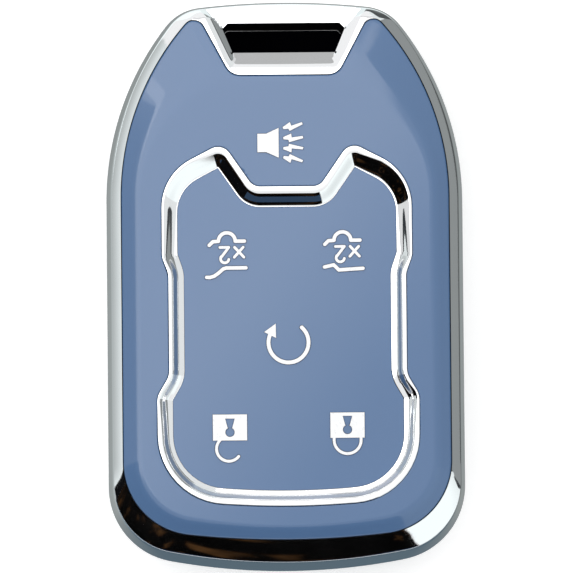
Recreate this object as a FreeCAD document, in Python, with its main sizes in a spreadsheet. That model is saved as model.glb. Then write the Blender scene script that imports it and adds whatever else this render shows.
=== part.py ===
import FreeCAD, Part
import math
import os
import re
import Sketcher

Vector = FreeCAD.Vector
UP = Vector(0, 0, 1)

# Driving sizes in millimetres. X runs across the cover, Y towards the key ring end, Z out of the front face.
SIZES = {
    # cover as a whole, widest at the parting line between its two halves
    "body_length": 84.0,
    "body_width": 52.6,
    "parting_level": 9.5,
    "bottom_round": 93.0,
    "corner_round": 11.1,
    "shoulder_run": 27.8,
    "taper_round": 38.4,
    "tip_round": 4.0,
    "tip_least": 0.8,
    "top_round": 113.0,
    # front half: drafted side, crease, chrome facet up to the blue band, band up to the face
    "crease_level": 16.2,
    "band_level": 17.6,
    "face_level": 19.0,
    "side_draft": 1.6,
    "band_inset": 2.0,
    "band_bottom_inset": 4.5,
    "band_corner_round": 11.6,
    "band_tip_round": 2.0,
    "face_inset": 4.4,
    "face_bottom_inset": 6.3,
    "face_top_inset": 10.4,
    "face_corner_round": 9.0,
    "face_shoulder_run": 29.2,
    "face_taper_round": 20.3,
    "face_tip_round": 2.0,
    # walls: chrome outside, black carrier inside, deck under the soft skins
    "wall_inset": 1.3,
    "deck_inset": 3.2,
    "deck_level": 16.8,
    "deck_thickness": 1.0,
    "carrier_wall": 1.0,
    "bond_gap": 0.05,
    "seam_level": 12.2,
    "tongue_level": 12.0,
    "tongue_gap": 0.08,
    "cut_margin": 1.0,
    # key ring window: sunk floor, sloped walls, flat chrome lip round it and the slot through the cover
    "window_half": 7.4,
    "window_run": 7.7,
    "window_splay": 0.53,
    "window_side_run": 1.55,
    "window_lower_run": 2.6,
    "window_wall": 1.0,
    "window_backing": 1.1,
    "lip_width": 1.15,
    "lip_side_width": 1.08,
    "slot_width": 4.2,
    "slot_chamfer": 0.8,
    "loop_half": 11.5,
    "loop_clearance": 0.5,
    # keypad frame, set in from the edges of the cover, with two peaks and the notch between them
    "frame_bottom_margin": 9.65,
    "frame_lower_margin": 7.05,
    "frame_corner_round": 8.4,
    "waist_margin": 8.8,
    "frame_upper_margin": 7.9,
    "frame_shoulder_drop": 4.8,
    "frame_shoulder_round": 8.0,
    "peak_margin": 21.0,
    "peak_half": 9.3,
    "peak_round": 2.2,
    "notch_half": 4.8,
    "notch_depth": 6.5,
    "notch_round": 1.8,
    "step_round": 3.0,
    "frame_least_round": 0.15,
    "frame_proud": 0.15,
    "frame_lip": 0.55,
    "frame_foot": 1.9,
    "frame_width": 2.25,
    "foot_proud": 0.1,
    "pad_level": 18.0,
    # keys: cap in a window of the skin, flange under the skin, press boss towards the fob
    "cap_width": 9.0,
    "cap_length": 8.6,
    "panic_cap_width": 10.0,
    "panic_cap_length": 7.4,
    "cap_round": 2.0,
    "cap_gap": 0.12,
    "flange_width": 0.7,
    "flange_thickness": 0.6,
    "flange_gap": 0.25,
    "boss_inset": 2.0,
    "boss_thickness": 1.0,
    "boss_round": 1.2,
    # middle of the panic key, measured from the key ring end
    "panic_run": 21.2,
    # raised function symbols
    "icon_height": 0.2,
    "icon_span": 5.0,
    "icon_stroke": 0.52,
    "mark_stroke": 0.4,
    "ring_stroke": 0.56,
    "shackle_stroke": 0.42,
    "roof_rise": 1.8,
    # rear half: drafted side, rounded in two facets towards the rear face, blue panel set in it
    "rear_side_level": 3.4,
    "rear_side_inset": 0.9,
    "rear_turn_level": 1.2,
    "rear_turn_inset": 2.4,
    "rear_face_level": 0.3,
    "rear_face_inset": 4.2,
    "rear_skin": 1.5,
    "rear_deck_inset": 3.6,
    "rear_cavity_level": 2.5,
    "rear_cavity_inset": 4.6,
    "rear_panel_inset": 5.2,
    "rear_panel_corner": 8.0,
    "rear_panel_top_inset": 11.0,
    "rear_panel_tip": 5.0,
}

# Places where the sides of the keypad frame step in and out, as shares of its length from its lower edge.
LOWER_STEP_SHARES = (0.3027, 0.359)
UPPER_STEP_SHARES = (0.6345, 0.6832)

# Key places: rows as shares of the keypad frame's length, columns as shares of the keypad's half width.
GATE_ROW_SHARE = 0.6926
START_ROW_SHARE = 0.4536
LOCK_ROW_SHARE = 0.1893
GATE_COLUMN_SHARE = 0.5325
LOCK_COLUMN_SHARE = 0.506

# How far each corner of the keypad frame moves, across and along, when its outline is drawn in by one.
FRAME_INSET_SHARES = {
    "bottom": (-1, 1),
    "lower_step": (-1, -0.257),
    "upper_step": (-1, 0.194),
    "shoulder": (-1, -0.613),
    "peak": (0.325, -1.289),
    "notch": (0.3, -1.33),
}

# Reach of the fan that cuts an arc stroke from its ring, in radii, and the number of its sides.
FAN_REACH_SHARE = 3
FAN_SIDES = 8

# Symbols as shares of the symbol span: their places, measured from the middle of their key, and outlines.
SYMBOL_PLACE_SHARES = {
    "panic": (-0.13, -0.02),
    "liftgate": (0, 0),
    "rear_glass": (-0.058, 0),
    "start": (0.058, -0.068),
    "unlock": (0.044, 0),
    "lock": (0.04, 0.06),
}
PADLOCK_HALF_SHARE = 0.5
LOCK_BODY_SHARES = (-0.11, 0.63)
UNLOCK_BODY_SHARES = (-0.10, 0.66)
KEYHOLE_RADIUS_SHARE = 0.136
KEYHOLE_RISE_SHARE = 0.24
KEYHOLE_FLARE_SHARES = ((-0.068, 0.37), (0.068, 0.37), (0.14, 0.64), (-0.14, 0.64))
LOCK_SHACKLE_SHARES = (0, -0.18, 0.394)
LOCK_SHACKLE_ANGLES = (180, 360)
UNLOCK_SHACKLE_SHARES = (-0.036, -0.343, 0.362)
UNLOCK_SHACKLE_ANGLES = (134, 322)
RING_RADIUS_SHARE = 0.586
RING_ANGLES = (148, 408)
ARROW_SHARES = ((-0.37, 0.555), (-0.71, 0.31), (-0.365, 0.135))
HORN_SHARES = (
    (-0.672, -0.27), (-0.414, -0.27), (-0.05, -0.436),
    (-0.05, 0.436), (-0.414, 0.27), (-0.672, 0.27),
)
BOLT_SHARES = (
    (0, 0.03), (0.237, 0.133), (0.252, 0.02), (0.575, 0.06),
    (0.592, -0.005), (0.175, -0.121), (0.157, -0.05), (0.01, -0.035),
)
# each ray: where it starts, its angle, and whether it is upright or mirrored top to bottom
BOLT_PLACE_SHARES = (
    (0.078, 0.43, 11, 1),
    (0.081, 0.135, 0, 1),
    (0.081, -0.16, 2, -1),
    (0.078, -0.42, -10, -1),
)
ROOF_RADIUS_SHARE = 0.246
ROOF_LINE_SHARES = (((0.246, 0), (0.514, 0)), ((-0.246, 0), (-0.41, -0.012), (-0.515, -0.115)))
DIGIT_LINE_SHARES = ((-0.205, -0.18), (0.055, -0.18), (-0.16, -0.46))
DIGIT_HOOK_SHARES = (-0.066, -0.512, 0.12)
DIGIT_HOOK_ANGLES = (150, 350)
TIMES_LINE_SHARES = (((0.225, -0.18), (0.495, -0.47)), ((0.475, -0.18), (0.215, -0.47)))
GATE_LINE_SHARES = (
    (-0.598, -1.054), (-0.5, -1.056), (-0.379, -1.022), (-0.233, -0.918),
    (-0.115, -0.812), (-0.03, -0.784), (0.551, -0.782),
)
GLASS_LINE_SHARES = ((-0.529, -0.779), (-0.26, -0.72), (-0.11, -0.868), (0.595, -0.826))

doc = FreeCAD.newDocument("key_fob_cover")
sheet = doc.addObject("Spreadsheet::Sheet", "dims")
for row, (alias, number) in enumerate(SIZES.items(), start=1):
    sheet.set(f"A{row}", alias)
    sheet.set(f"B{row}", str(number))
    sheet.setAlias(f"B{row}", alias)
doc.recompute()

nodes = []

# Lower edge of the key ring slot.
WINDOW_FOOT = "(body_length / 2 - window_run)"


def formula(text):
    """Expression that reads the named sizes from outside the sheet."""
    return re.sub(r"[a-z]+(?:_[a-z]+)+", lambda name: "dims." + name.group(), text)


def size(text):
    """Value of an expression of named sizes."""
    return float(sheet.evalExpression(text))


def bind(item, path, text):
    item.setExpression(path, formula(text))


def finish(item, label):
    """Mark an object as a finished piece of the cover."""
    item.Label = label
    nodes.append(item)
    return item


def add_sized(sketch, sized):
    """Add dimension constraints to a sketch and bind each one to its expression."""
    for name, constraint, text in sized:
        constraint.Name = name
        sketch.addConstraint(constraint)
        bind(sketch, f"Constraints.{name}", text)


def arc(centre, radius, first, last):
    return Part.ArcOfCircle(Part.Circle(centre, UP, radius), first, last)


def cover_outline(inset="0"):
    """Plan outline of the cover at the parting line, drawn in by an inset."""
    return {
        "half": f"body_width / 2 - ({inset})",
        "bottom": f"-body_length / 2 + ({inset})",
        "bottom_round": f"bottom_round - ({inset})",
        "corner_round": f"corner_round - ({inset})",
        "shoulder": "body_length / 2 - shoulder_run",
        "taper_round": f"taper_round - ({inset})",
        "tip_round": f"max(tip_round - ({inset}); tip_least)",
        "top": f"body_length / 2 - ({inset})",
        "top_round": f"top_round - ({inset})",
    }


def outline_sketch(name, outline, level):
    """Sketch of a cover outline: crowned ends, round corners, straight sides and tapered shoulders."""
    value = {key: size(text) for key, text in outline.items()}
    half, corner, taper, tip = value["half"], value["corner_round"], value["taper_round"], value["tip_round"]
    bottom_centre = Vector(0, value["bottom"] + value["bottom_round"], 0)
    top_centre = Vector(0, value["top"] - value["top_round"], 0)
    reach = value["bottom_round"] - corner
    corner_centre = Vector(half - corner, bottom_centre.y - math.sqrt(reach ** 2 - (half - corner) ** 2), 0)
    taper_centre = Vector(half - taper, value["shoulder"], 0)
    tip_centre = meeting_point(taper_centre, taper - tip, top_centre, value["top_round"] - tip)
    turn_corner = math.atan2(corner_centre.y - bottom_centre.y, corner_centre.x)
    turn_taper = math.atan2(tip_centre.y - taper_centre.y, tip_centre.x - taper_centre.x)
    turn_tip = math.atan2(tip_centre.y - top_centre.y, tip_centre.x)
    mirrored = [Vector(-point.x, point.y, 0) for point in (corner_centre, taper_centre, tip_centre)]
    sketch = doc.addObject("Sketcher::SketchObject", name)
    bind(sketch, ".Placement.Base.z", level)
    sketch.addGeometry([
        arc(bottom_centre, value["bottom_round"], -math.pi - turn_corner, turn_corner),
        arc(corner_centre, corner, turn_corner, 0),
        Part.LineSegment(Vector(half, corner_centre.y, 0), Vector(half, taper_centre.y, 0)),
        arc(taper_centre, taper, 0, turn_taper),
        arc(tip_centre, tip, turn_taper, turn_tip),
        arc(top_centre, value["top_round"], turn_tip, math.pi - turn_tip),
        arc(mirrored[2], tip, math.pi - turn_tip, math.pi - turn_taper),
        arc(mirrored[1], taper, math.pi - turn_taper, math.pi),
        Part.LineSegment(Vector(-half, taper_centre.y, 0), Vector(-half, corner_centre.y, 0)),
        arc(mirrored[0], corner, math.pi, math.pi - turn_corner),
    ], False)
    ring = range(sketch.GeometryCount)
    bottom, right_corner, right, right_taper, right_tip = ring[:5]
    top, left_tip, left_taper, left, left_corner = ring[5:]
    sketch.addConstraint([
        Sketcher.Constraint("Tangent", item, 2, (item + 1) % len(ring), 1) for item in ring
    ])
    sketch.addConstraint([
        Sketcher.Constraint("Vertical", right),
        Sketcher.Constraint("Vertical", left),
        Sketcher.Constraint("Equal", right_corner, left_corner),
        Sketcher.Constraint("Equal", right_taper, left_taper),
        Sketcher.Constraint("Equal", right_tip, left_tip),
        Sketcher.Constraint("PointOnObject", bottom, 3, -2),
        Sketcher.Constraint("PointOnObject", top, 3, -2),
    ])
    add_sized(sketch, [
        ("right_side", Sketcher.Constraint("DistanceX", -1, 1, right, 1, half), outline["half"]),
        ("left_side", Sketcher.Constraint("DistanceX", left, 1, -1, 1, half), outline["half"]),
        ("bottom_arc", Sketcher.Constraint("Radius", bottom, value["bottom_round"]), outline["bottom_round"]),
        ("corner_arc", Sketcher.Constraint("Radius", right_corner, corner), outline["corner_round"]),
        ("taper_arc", Sketcher.Constraint("Radius", right_taper, taper), outline["taper_round"]),
        ("tip_arc", Sketcher.Constraint("Radius", right_tip, tip), outline["tip_round"]),
        ("top_arc", Sketcher.Constraint("Radius", top, value["top_round"]), outline["top_round"]),
        ("right_shoulder", Sketcher.Constraint("DistanceY", -1, 1, right_taper, 3, value["shoulder"]),
         outline["shoulder"]),
        ("left_shoulder", Sketcher.Constraint("DistanceY", -1, 1, left_taper, 3, value["shoulder"]),
         outline["shoulder"]),
        ("bottom_centre", Sketcher.Constraint("DistanceY", -1, 1, bottom, 3, bottom_centre.y),
         f"{outline['bottom']} + {outline['bottom_round']}"),
        ("top_centre", Sketcher.Constraint("DistanceY", top, 3, -1, 1, -top_centre.y),
         f"{outline['top_round']} - ({outline['top']})"),
    ])
    return sketch


def meeting_point(first, first_reach, second, second_reach):
    """Right-hand point at the given reaches from two centres."""
    apart = second.sub(first)
    along = (first_reach ** 2 - second_reach ** 2 + apart.Length ** 2) / (2 * apart.Length)
    aside = math.sqrt(first_reach ** 2 - along ** 2)
    step = Vector(apart).normalize()
    points = [first + step * along + Vector(-step.y, step.x, 0) * turn for turn in (aside, -aside)]
    return max(points, key=lambda point: point.x)


def mirrored_corners(corners):
    """Whole outline from the corners of its right side, listed upwards."""
    left = [(f"-({across})", along, radius) for across, along, radius in reversed(corners)]
    return corners + left


def draw_corners(sketch, corners):
    """Draw a closed outline of straight sides whose corners have the given radii."""
    points = [Vector(size(across), size(along), 0) for across, along, _ in corners]
    radii = [size(radius) for _, _, radius in corners]
    count = len(points)
    entries, exits, arcs = [], [], []
    for number, (point, radius) in enumerate(zip(points, radii)):
        back = (points[number - 1] - point).normalize()
        ahead = (points[(number + 1) % count] - point).normalize()
        half_angle = back.getAngle(ahead) / 2
        entries.append(point + back * (radius / math.tan(half_angle)))
        exits.append(point + ahead * (radius / math.tan(half_angle)))
        if radius == 0:
            continue
        centre = point + (back + ahead).normalize() * (radius / math.sin(half_angle))
        convex = ahead.cross(back).z > 0
        ends = (entries[-1], exits[-1]) if convex else (exits[-1], entries[-1])
        angles = [math.atan2(end.y - centre.y, end.x - centre.x) for end in ends]
        arcs.append((number, convex, arc(centre, radius, *angles)))
    lines = [Part.LineSegment(exits[number], entries[(number + 1) % count]) for number in range(count)]
    sketch.addGeometry(lines, False)
    sketch.addGeometry([curve for _, _, curve in arcs], False)
    rounded = {number: (count + place, convex) for place, (number, convex, _) in enumerate(arcs)}
    marks = {}
    for number in rounded:
        marks[number] = sketch.addGeometry(Part.Point(points[number]), True)
    joints, sized = [], []
    for number, (across, along, radius) in enumerate(corners):
        line_in = (number - 1) % count
        if number in rounded:
            curve, convex = rounded[number]
            mark, end = marks[number], 1
            joints.append(Sketcher.Constraint("Tangent", line_in, 2, curve, 1 if convex else 2))
            joints.append(Sketcher.Constraint("Tangent", number, 1, curve, 2 if convex else 1))
            joints.append(Sketcher.Constraint("PointOnObject", mark, 1, line_in))
            joints.append(Sketcher.Constraint("PointOnObject", mark, 1, number))
            sized.append((f"round_{number}", Sketcher.Constraint("Radius", curve, radii[number]), radius))
        else:
            mark, end = number, 1
            joints.append(Sketcher.Constraint("Coincident", line_in, 2, number, 1))
        point = points[number]
        reach_across = Sketcher.Constraint("DistanceX", -1, 1, mark, end, point.x)
        reach_along = Sketcher.Constraint("DistanceY", -1, 1, mark, end, point.y)
        sized += [(f"across_{number}", reach_across, across), (f"along_{number}", reach_along, along)]
    sketch.addConstraint(joints)
    add_sized(sketch, sized)


def corner_sketch(name, corners, level):
    sketch = doc.addObject("Sketcher::SketchObject", name)
    bind(sketch, ".Placement.Base.z", level)
    draw_corners(sketch, corners)
    return sketch


def loft(name, *sections):
    """Solid with straight-ruled sides through outlines listed upwards."""
    solid = doc.addObject("Part::Loft", name)
    solid.Sections = list(sections)
    solid.Solid = True
    solid.Ruled = True
    return solid


def prism(name, sketch, height):
    solid = doc.addObject("Part::Extrusion", name)
    solid.Base = sketch
    solid.DirMode = "Custom"
    solid.Dir = UP
    solid.Solid = True
    bind(solid, "LengthFwd", height)
    return solid


def cut(name, base, *tools):
    for number, tool in enumerate(tools, start=1):
        piece = doc.addObject("Part::Cut", f"{name}_cut_{number}")
        piece.Base = base
        piece.Tool = tool
        base = piece
    return base


def common(name, first, second):
    piece = doc.addObject("Part::Common", name)
    piece.Base = first
    piece.Tool = second
    return piece


def fuse(name, *pieces):
    whole = doc.addObject("Part::MultiFuse", name)
    whole.Shapes = list(pieces)
    return whole


def inset_loft(name, *stations):
    """Loft through cover outlines given as pairs of inset and level, listed upwards."""
    sketches = []
    for number, (inset, level) in enumerate(stations, start=1):
        sketches.append(outline_sketch(f"{name}_outline_{number}", cover_outline(inset), level))
    return loft(name, *sketches)


def window_corners(side, lower):
    """Outline of the key ring window, open past the end of the cover, grown sideways and downwards."""
    half = f"window_half + {side}"
    return mirrored_corners([
        (f"{half} - window_splay * ({lower})", f"{WINDOW_FOOT} - ({lower})", "0"),
        (f"{half} + window_splay * (window_run + cut_margin)", "body_length / 2 + cut_margin", "0"),
    ])


def window_form(name, grow, floor):
    """Sunk key ring window with sloped walls, grown all round, from its floor to above the face."""
    top = "face_level + cut_margin"
    slope = f"({top} - crease_level) / (face_level - crease_level)"
    low = corner_sketch(f"{name}_floor", window_corners(grow, grow), floor)
    high = corner_sketch(
        f"{name}_mouth",
        window_corners(f"({grow} + window_side_run * {slope})", f"{grow} + window_lower_run * {slope}"),
        top,
    )
    return loft(name, low, high)


def slot_form(name):
    """Slot for the key ring, through the whole cover."""
    upper = f"{WINDOW_FOOT} + slot_width"
    wide = "window_half + window_splay * (slot_width - slot_chamfer)"
    sketch = corner_sketch(f"{name}_outline", mirrored_corners([
        ("window_half", WINDOW_FOOT, "0"),
        (wide, f"{upper} - slot_chamfer", "0"),
        (f"{wide} - slot_chamfer", upper, "0"),
    ]), "-cut_margin")
    return prism(name, sketch, "face_level + 2 * cut_margin")


def loop_form(name):
    """Space kept free of the black carriers round the key ring slot."""
    sketch = corner_sketch(f"{name}_outline", mirrored_corners([
        ("loop_half", f"{WINDOW_FOOT} - loop_clearance", "0"),
        ("loop_half", "body_length / 2 + cut_margin", "0"),
    ]), "-cut_margin")
    return prism(name, sketch, "face_level + 2 * cut_margin")


def band_outline():
    """Outline of the blue front panel where it meets the chrome rim."""
    outline = cover_outline("band_inset")
    outline["bottom"] = "-body_length / 2 + band_bottom_inset"
    outline["corner_round"] = "band_corner_round"
    outline["tip_round"] = "band_tip_round"
    return outline


def face_outline():
    """Outline of the flat front face inside the sloped band."""
    outline = cover_outline("face_inset")
    outline["bottom"] = "-body_length / 2 + face_bottom_inset"
    outline["corner_round"] = "face_corner_round"
    outline["shoulder"] = "body_length / 2 - face_shoulder_run"
    outline["taper_round"] = "face_taper_round"
    outline["tip_round"] = "face_tip_round"
    outline["top"] = "body_length / 2 - face_top_inset"
    return outline


def rear_panel_outline():
    outline = cover_outline("rear_panel_inset")
    outline["corner_round"] = "rear_panel_corner"
    outline["tip_round"] = "rear_panel_tip"
    outline["top"] = "body_length / 2 - rear_panel_top_inset"
    return outline


def frame_row(share):
    """Place along the cover at a share of the keypad frame's length, from its lower edge to its peaks."""
    frame_length = "(body_length - frame_bottom_margin - peak_margin)"
    return f"(frame_bottom_margin - body_length / 2 + {share} * {frame_length})"


def key_column(margin, share):
    """Place across the cover at a share of the keypad's half width."""
    return f"({share} * (body_width / 2 - {margin} - frame_width))"


def frame_corners(inset):
    """Keypad frame outline drawn in by an inset, with its two peaks and the notch between them."""
    def corner(across, along, shares, radius, turn):
        share_across, share_along = FRAME_INSET_SHARES[shares]
        rounding = f"max({radius} - ({inset}); frame_least_round)" if turn == "out" else f"{radius} + {inset}"
        moved_across = f"{across} + ({share_across}) * ({inset})"
        moved_along = f"{along} + ({share_along}) * ({inset})"
        return (moved_across, moved_along, rounding)

    lower = "body_width / 2 - frame_lower_margin"
    waist = "body_width / 2 - waist_margin"
    upper = "body_width / 2 - frame_upper_margin"
    lower_step = [frame_row(share) for share in LOWER_STEP_SHARES]
    upper_step = [frame_row(share) for share in UPPER_STEP_SHARES]
    return mirrored_corners([
        corner(lower, frame_row(0), "bottom", "frame_corner_round", "out"),
        corner(lower, lower_step[0], "lower_step", "step_round", "out"),
        corner(waist, lower_step[1], "lower_step", "step_round", "in"),
        corner(waist, upper_step[0], "upper_step", "step_round", "in"),
        corner(upper, upper_step[1], "upper_step", "step_round", "out"),
        corner(upper, f"{frame_row(1)} - frame_shoulder_drop", "shoulder", "frame_shoulder_round", "out"),
        corner("peak_half", frame_row(1), "peak", "peak_round", "out"),
        corner("notch_half", f"{frame_row(1)} - notch_depth", "notch", "notch_round", "in"),
    ])


def block_corners(across, along, width, length, radius):
    """Rounded rectangle about a centre."""
    return [
        (f"{across} + ({width}) / 2", f"{along} - ({length}) / 2", radius),
        (f"{across} + ({width}) / 2", f"{along} + ({length}) / 2", radius),
        (f"{across} - ({width}) / 2", f"{along} + ({length}) / 2", radius),
        (f"{across} - ({width}) / 2", f"{along} - ({length}) / 2", radius),
    ]


def key_window(name, key, grow, level, height):
    """Opening for a key, larger than its cap all round."""
    across, along, width, length, _ = key
    corners = block_corners(across, along, f"{width} + 2 * ({grow})", f"{length} + 2 * ({grow})", "cap_round")
    return prism(name, corner_sketch(f"{name}_outline", corners, level), height)


def make_key(name, key):
    """Key with its press boss, its flange under the skin and its cap flush with the skin."""
    across, along, width, length, top = key
    body = doc.addObject("PartDesign::Body", f"{name}_body")
    plane = next(item for item in body.Origin.OriginFeatures if item.Role == "XY_Plane")
    flange_low = "deck_level - flange_thickness"
    for part, grow, radius, low, high in (
        ("boss", "-boss_inset", "boss_round", f"{flange_low} - boss_thickness", flange_low),
        ("flange", "flange_width", "cap_round", flange_low, "deck_level"),
        ("cap", "0", "cap_round", "deck_level", top),
    ):
        sketch = body.newObject("Sketcher::SketchObject", f"{name}_{part}_outline")
        sketch.AttachmentSupport = (plane, "")
        sketch.MapMode = "FlatFace"
        bind(sketch, ".AttachmentOffset.Base.z", low)
        corners = block_corners("0", "0", f"{width} + 2 * ({grow})", f"{length} + 2 * ({grow})", radius)
        draw_corners(sketch, corners)
        pad = body.newObject("PartDesign::Pad", f"{name}_{part}")
        pad.Profile = sketch
        bind(pad, "Length", f"{high} - ({low})")
    bind(body, ".Placement.Base.x", across)
    bind(body, ".Placement.Base.y", along)
    return finish(body, name)


def plan(points):
    """Points given as shares of the symbol span, in the plane of the skin."""
    span = size("icon_span")
    return [Vector(across * span, along * span, 0) for across, along in points]


def raised(wire):
    """Plate of symbol thickness on a closed wire."""
    return Part.Face(wire).extrude(UP * size("icon_height"))


def plate(points):
    return raised(Part.makePolygon(points + points[:1]))


def disc(centre, radius):
    return Part.makeCylinder(radius, size("icon_height"), centre)


def line_stroke(points, width):
    """Stroke with round ends along straight runs."""
    pieces = []
    for start, end in zip(points, points[1:]):
        side = (end - start).cross(UP).normalize() * (width / 2)
        pieces.append(plate([start + side, end + side, end - side, start - side]))
    pieces += [disc(point, width / 2) for point in points]
    return pieces


def arc_stroke(circle, angles, width):
    """Stroke with round ends along an arc of a circle given as shares of the symbol span."""
    span = size("icon_span")
    across, along, share = circle
    centre, radius = Vector(across * span, along * span, 0), share * span
    ring = disc(centre, radius + width / 2).cut(disc(centre, radius - width / 2))
    first, last = (math.radians(angle) for angle in angles)
    fan = [centre]
    for step in range(FAN_SIDES + 1):
        turn = first + (last - first) * step / FAN_SIDES
        fan.append(centre + Vector(math.cos(turn), math.sin(turn), 0) * (FAN_REACH_SHARE * radius))
    ends = [centre + Vector(math.cos(turn), math.sin(turn), 0) * radius for turn in (first, last)]
    return [ring.common(plate(fan))] + [disc(end, width / 2) for end in ends]


def padlock(body_shares, shackle, angles):
    """Padlock seen from the key ring end: body with a keyhole, shackle below it."""
    low, high = body_shares
    half = PADLOCK_HALF_SHARE
    body = plate(plan([(-half, low), (half, low), (half, high), (-half, high)]))
    hole = disc(plan([(0, low + KEYHOLE_RISE_SHARE)])[0], KEYHOLE_RADIUS_SHARE * size("icon_span"))
    flare = plate(plan([(across, low + along) for across, along in KEYHOLE_FLARE_SHARES]))
    return [body.cut(hole).cut(flare)] + arc_stroke(shackle, angles, size("shackle_stroke"))


def lock_symbol():
    legs = []
    across, along, share = LOCK_SHACKLE_SHARES
    for side in (-share, share):
        legs += line_stroke(plan([(side, along), (side, LOCK_BODY_SHARES[0])]), size("shackle_stroke"))
    return padlock(LOCK_BODY_SHARES, LOCK_SHACKLE_SHARES, LOCK_SHACKLE_ANGLES) + legs


def unlock_symbol():
    return padlock(UNLOCK_BODY_SHARES, UNLOCK_SHACKLE_SHARES, UNLOCK_SHACKLE_ANGLES)


def start_symbol():
    """Open ring that ends in an arrow head."""
    ring = arc_stroke((0, 0, RING_RADIUS_SHARE), RING_ANGLES, size("ring_stroke"))
    return ring + [plate(plan(ARROW_SHARES))]


def panic_symbol():
    """Horn with four jagged sound rays."""
    pieces = [plate(plan(HORN_SHARES))]
    for across, along, angle, side in BOLT_PLACE_SHARES:
        ray = plate(plan([(x, side * y) for x, y in BOLT_SHARES[::side]]))
        ray.rotate(Vector(0, 0, 0), UP, angle)
        ray.translate(plan([(across, along)])[0])
        pieces.append(ray)
    return pieces


def rear_door_symbol(door):
    """Car roof, a mark for two presses and the line of the door that opens."""
    stroke, thin = size("icon_stroke"), size("mark_stroke")
    pieces = arc_stroke((0, 0, ROOF_RADIUS_SHARE), (0, 180), stroke)
    for points in ROOF_LINE_SHARES:
        pieces += line_stroke(plan(points), stroke)
    pieces += line_stroke(plan(DIGIT_LINE_SHARES), thin)
    pieces += arc_stroke(DIGIT_HOOK_SHARES, DIGIT_HOOK_ANGLES, thin)
    for points in TIMES_LINE_SHARES:
        pieces += line_stroke(plan(points), thin)
    pieces += line_stroke(plan(door), stroke)
    for piece in pieces:
        piece.translate(Vector(0, size("roof_rise"), 0))
    return pieces


def make_symbol(name, pieces, place, key):
    """Raised symbol on the cap of its key."""
    across, along, _, _, top = key
    for piece in pieces:
        piece.translate(plan([place])[0])
    feature = doc.addObject("Part::Feature", f"{name}_plate")
    feature.Shape = pieces[0].multiFuse(pieces[1:]).removeSplitter()
    bind(feature, ".Placement.Base.x", across)
    bind(feature, ".Placement.Base.y", along)
    bind(feature, ".Placement.Base.z", top)
    return finish(feature, name)


# Each key: place across and along, cap width and length, level of its top.
gate_column = key_column("frame_upper_margin", GATE_COLUMN_SHARE)
lock_column = key_column("frame_lower_margin", LOCK_COLUMN_SHARE)
gate_row = frame_row(GATE_ROW_SHARE)
start_row = frame_row(START_ROW_SHARE)
lock_row = frame_row(LOCK_ROW_SHARE)
KEYS = {
    "panic": ("0", "body_length / 2 - panic_run", "panic_cap_width", "panic_cap_length", "face_level"),
    "liftgate": (f"-{gate_column}", gate_row, "cap_width", "cap_length", "pad_level"),
    "rear_glass": (gate_column, gate_row, "cap_width", "cap_length", "pad_level"),
    "start": ("0", start_row, "cap_width", "cap_length", "pad_level"),
    "unlock": (f"-{lock_column}", lock_row, "cap_width", "cap_length", "pad_level"),
    "lock": (lock_column, lock_row, "cap_width", "cap_length", "pad_level"),
}

# shared cutting forms
window = window_form("window", "0", "crease_level")
backing = window_form("backing", "window_backing", "crease_level - window_wall")
slot = slot_form("slot")
loop = loop_form("loop")
skin_depth = "face_level + cut_margin - deck_level"
lip_side = "window_side_run + lip_side_width"
lip_lower = "window_lower_run + lip_width"
lip_outline = corner_sketch("lip_outline", window_corners(lip_side, lip_lower), "deck_level")
lip = prism("lip", lip_outline, skin_depth)
band = prism("band", outline_sketch("band_region", band_outline(), "deck_level"), skin_depth)
panel_region = cut("panel_region", band, lip)
frame_edge = corner_sketch("frame_edge", frame_corners("0"), "deck_level")
frame_region = prism("frame_region", frame_edge, skin_depth)

# front half
front_form = loft(
    "front_form",
    outline_sketch("front_parting", cover_outline(), "parting_level"),
    outline_sketch("front_crease", cover_outline("side_draft"), "crease_level"),
    outline_sketch("front_band", band_outline(), "band_level"),
    outline_sketch("front_face", face_outline(), "face_level"),
)
wall_slope = "(deck_inset - wall_inset) / (deck_level - parting_level)"
front_core = inset_loft("front_core", ("wall_inset", "parting_level"), ("deck_inset", "deck_level"))
rim = cut("rim", front_form, front_core)
window_shell = common("window_shell", backing, front_form)
bezel = fuse("bezel", rim, window_shell)
finish(cut("front_bezel", bezel, panel_region, window, slot), "front_bezel")

panel = common("panel", front_form, panel_region)
panic_window = key_window("panic_window", KEYS["panic"], "cap_gap", "deck_level", skin_depth)
finish(cut("front_panel", panel, frame_region, panic_window), "front_panel")

frame_height = "face_level + frame_proud - deck_level"
frame_outer = corner_sketch("frame_outer", frame_corners("0"), "deck_level")
frame_block = prism("frame_block", frame_outer, frame_height)
frame_slope = loft(
    "frame_slope",
    corner_sketch("frame_slope_foot", frame_corners("frame_foot"), "pad_level + foot_proud"),
    corner_sketch("frame_slope_lip", frame_corners("frame_lip"), "face_level + frame_proud"),
)
frame_opening = prism(
    "frame_opening", corner_sketch("frame_inner", frame_corners("frame_width"), "deck_level"), skin_depth)
finish(cut("keypad_frame", frame_block, frame_slope, frame_opening), "keypad_frame")

pad_edge = corner_sketch("pad_edge", frame_corners("frame_width"), "deck_level")
pad = prism("pad", pad_edge, "pad_level - deck_level")
pad_windows = [
    key_window(f"{name}_window", key, "cap_gap", "deck_level", skin_depth)
    for name, key in KEYS.items() if name != "panic"
]
finish(cut("keypad_panel", pad, *pad_windows), "keypad_panel")

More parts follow.
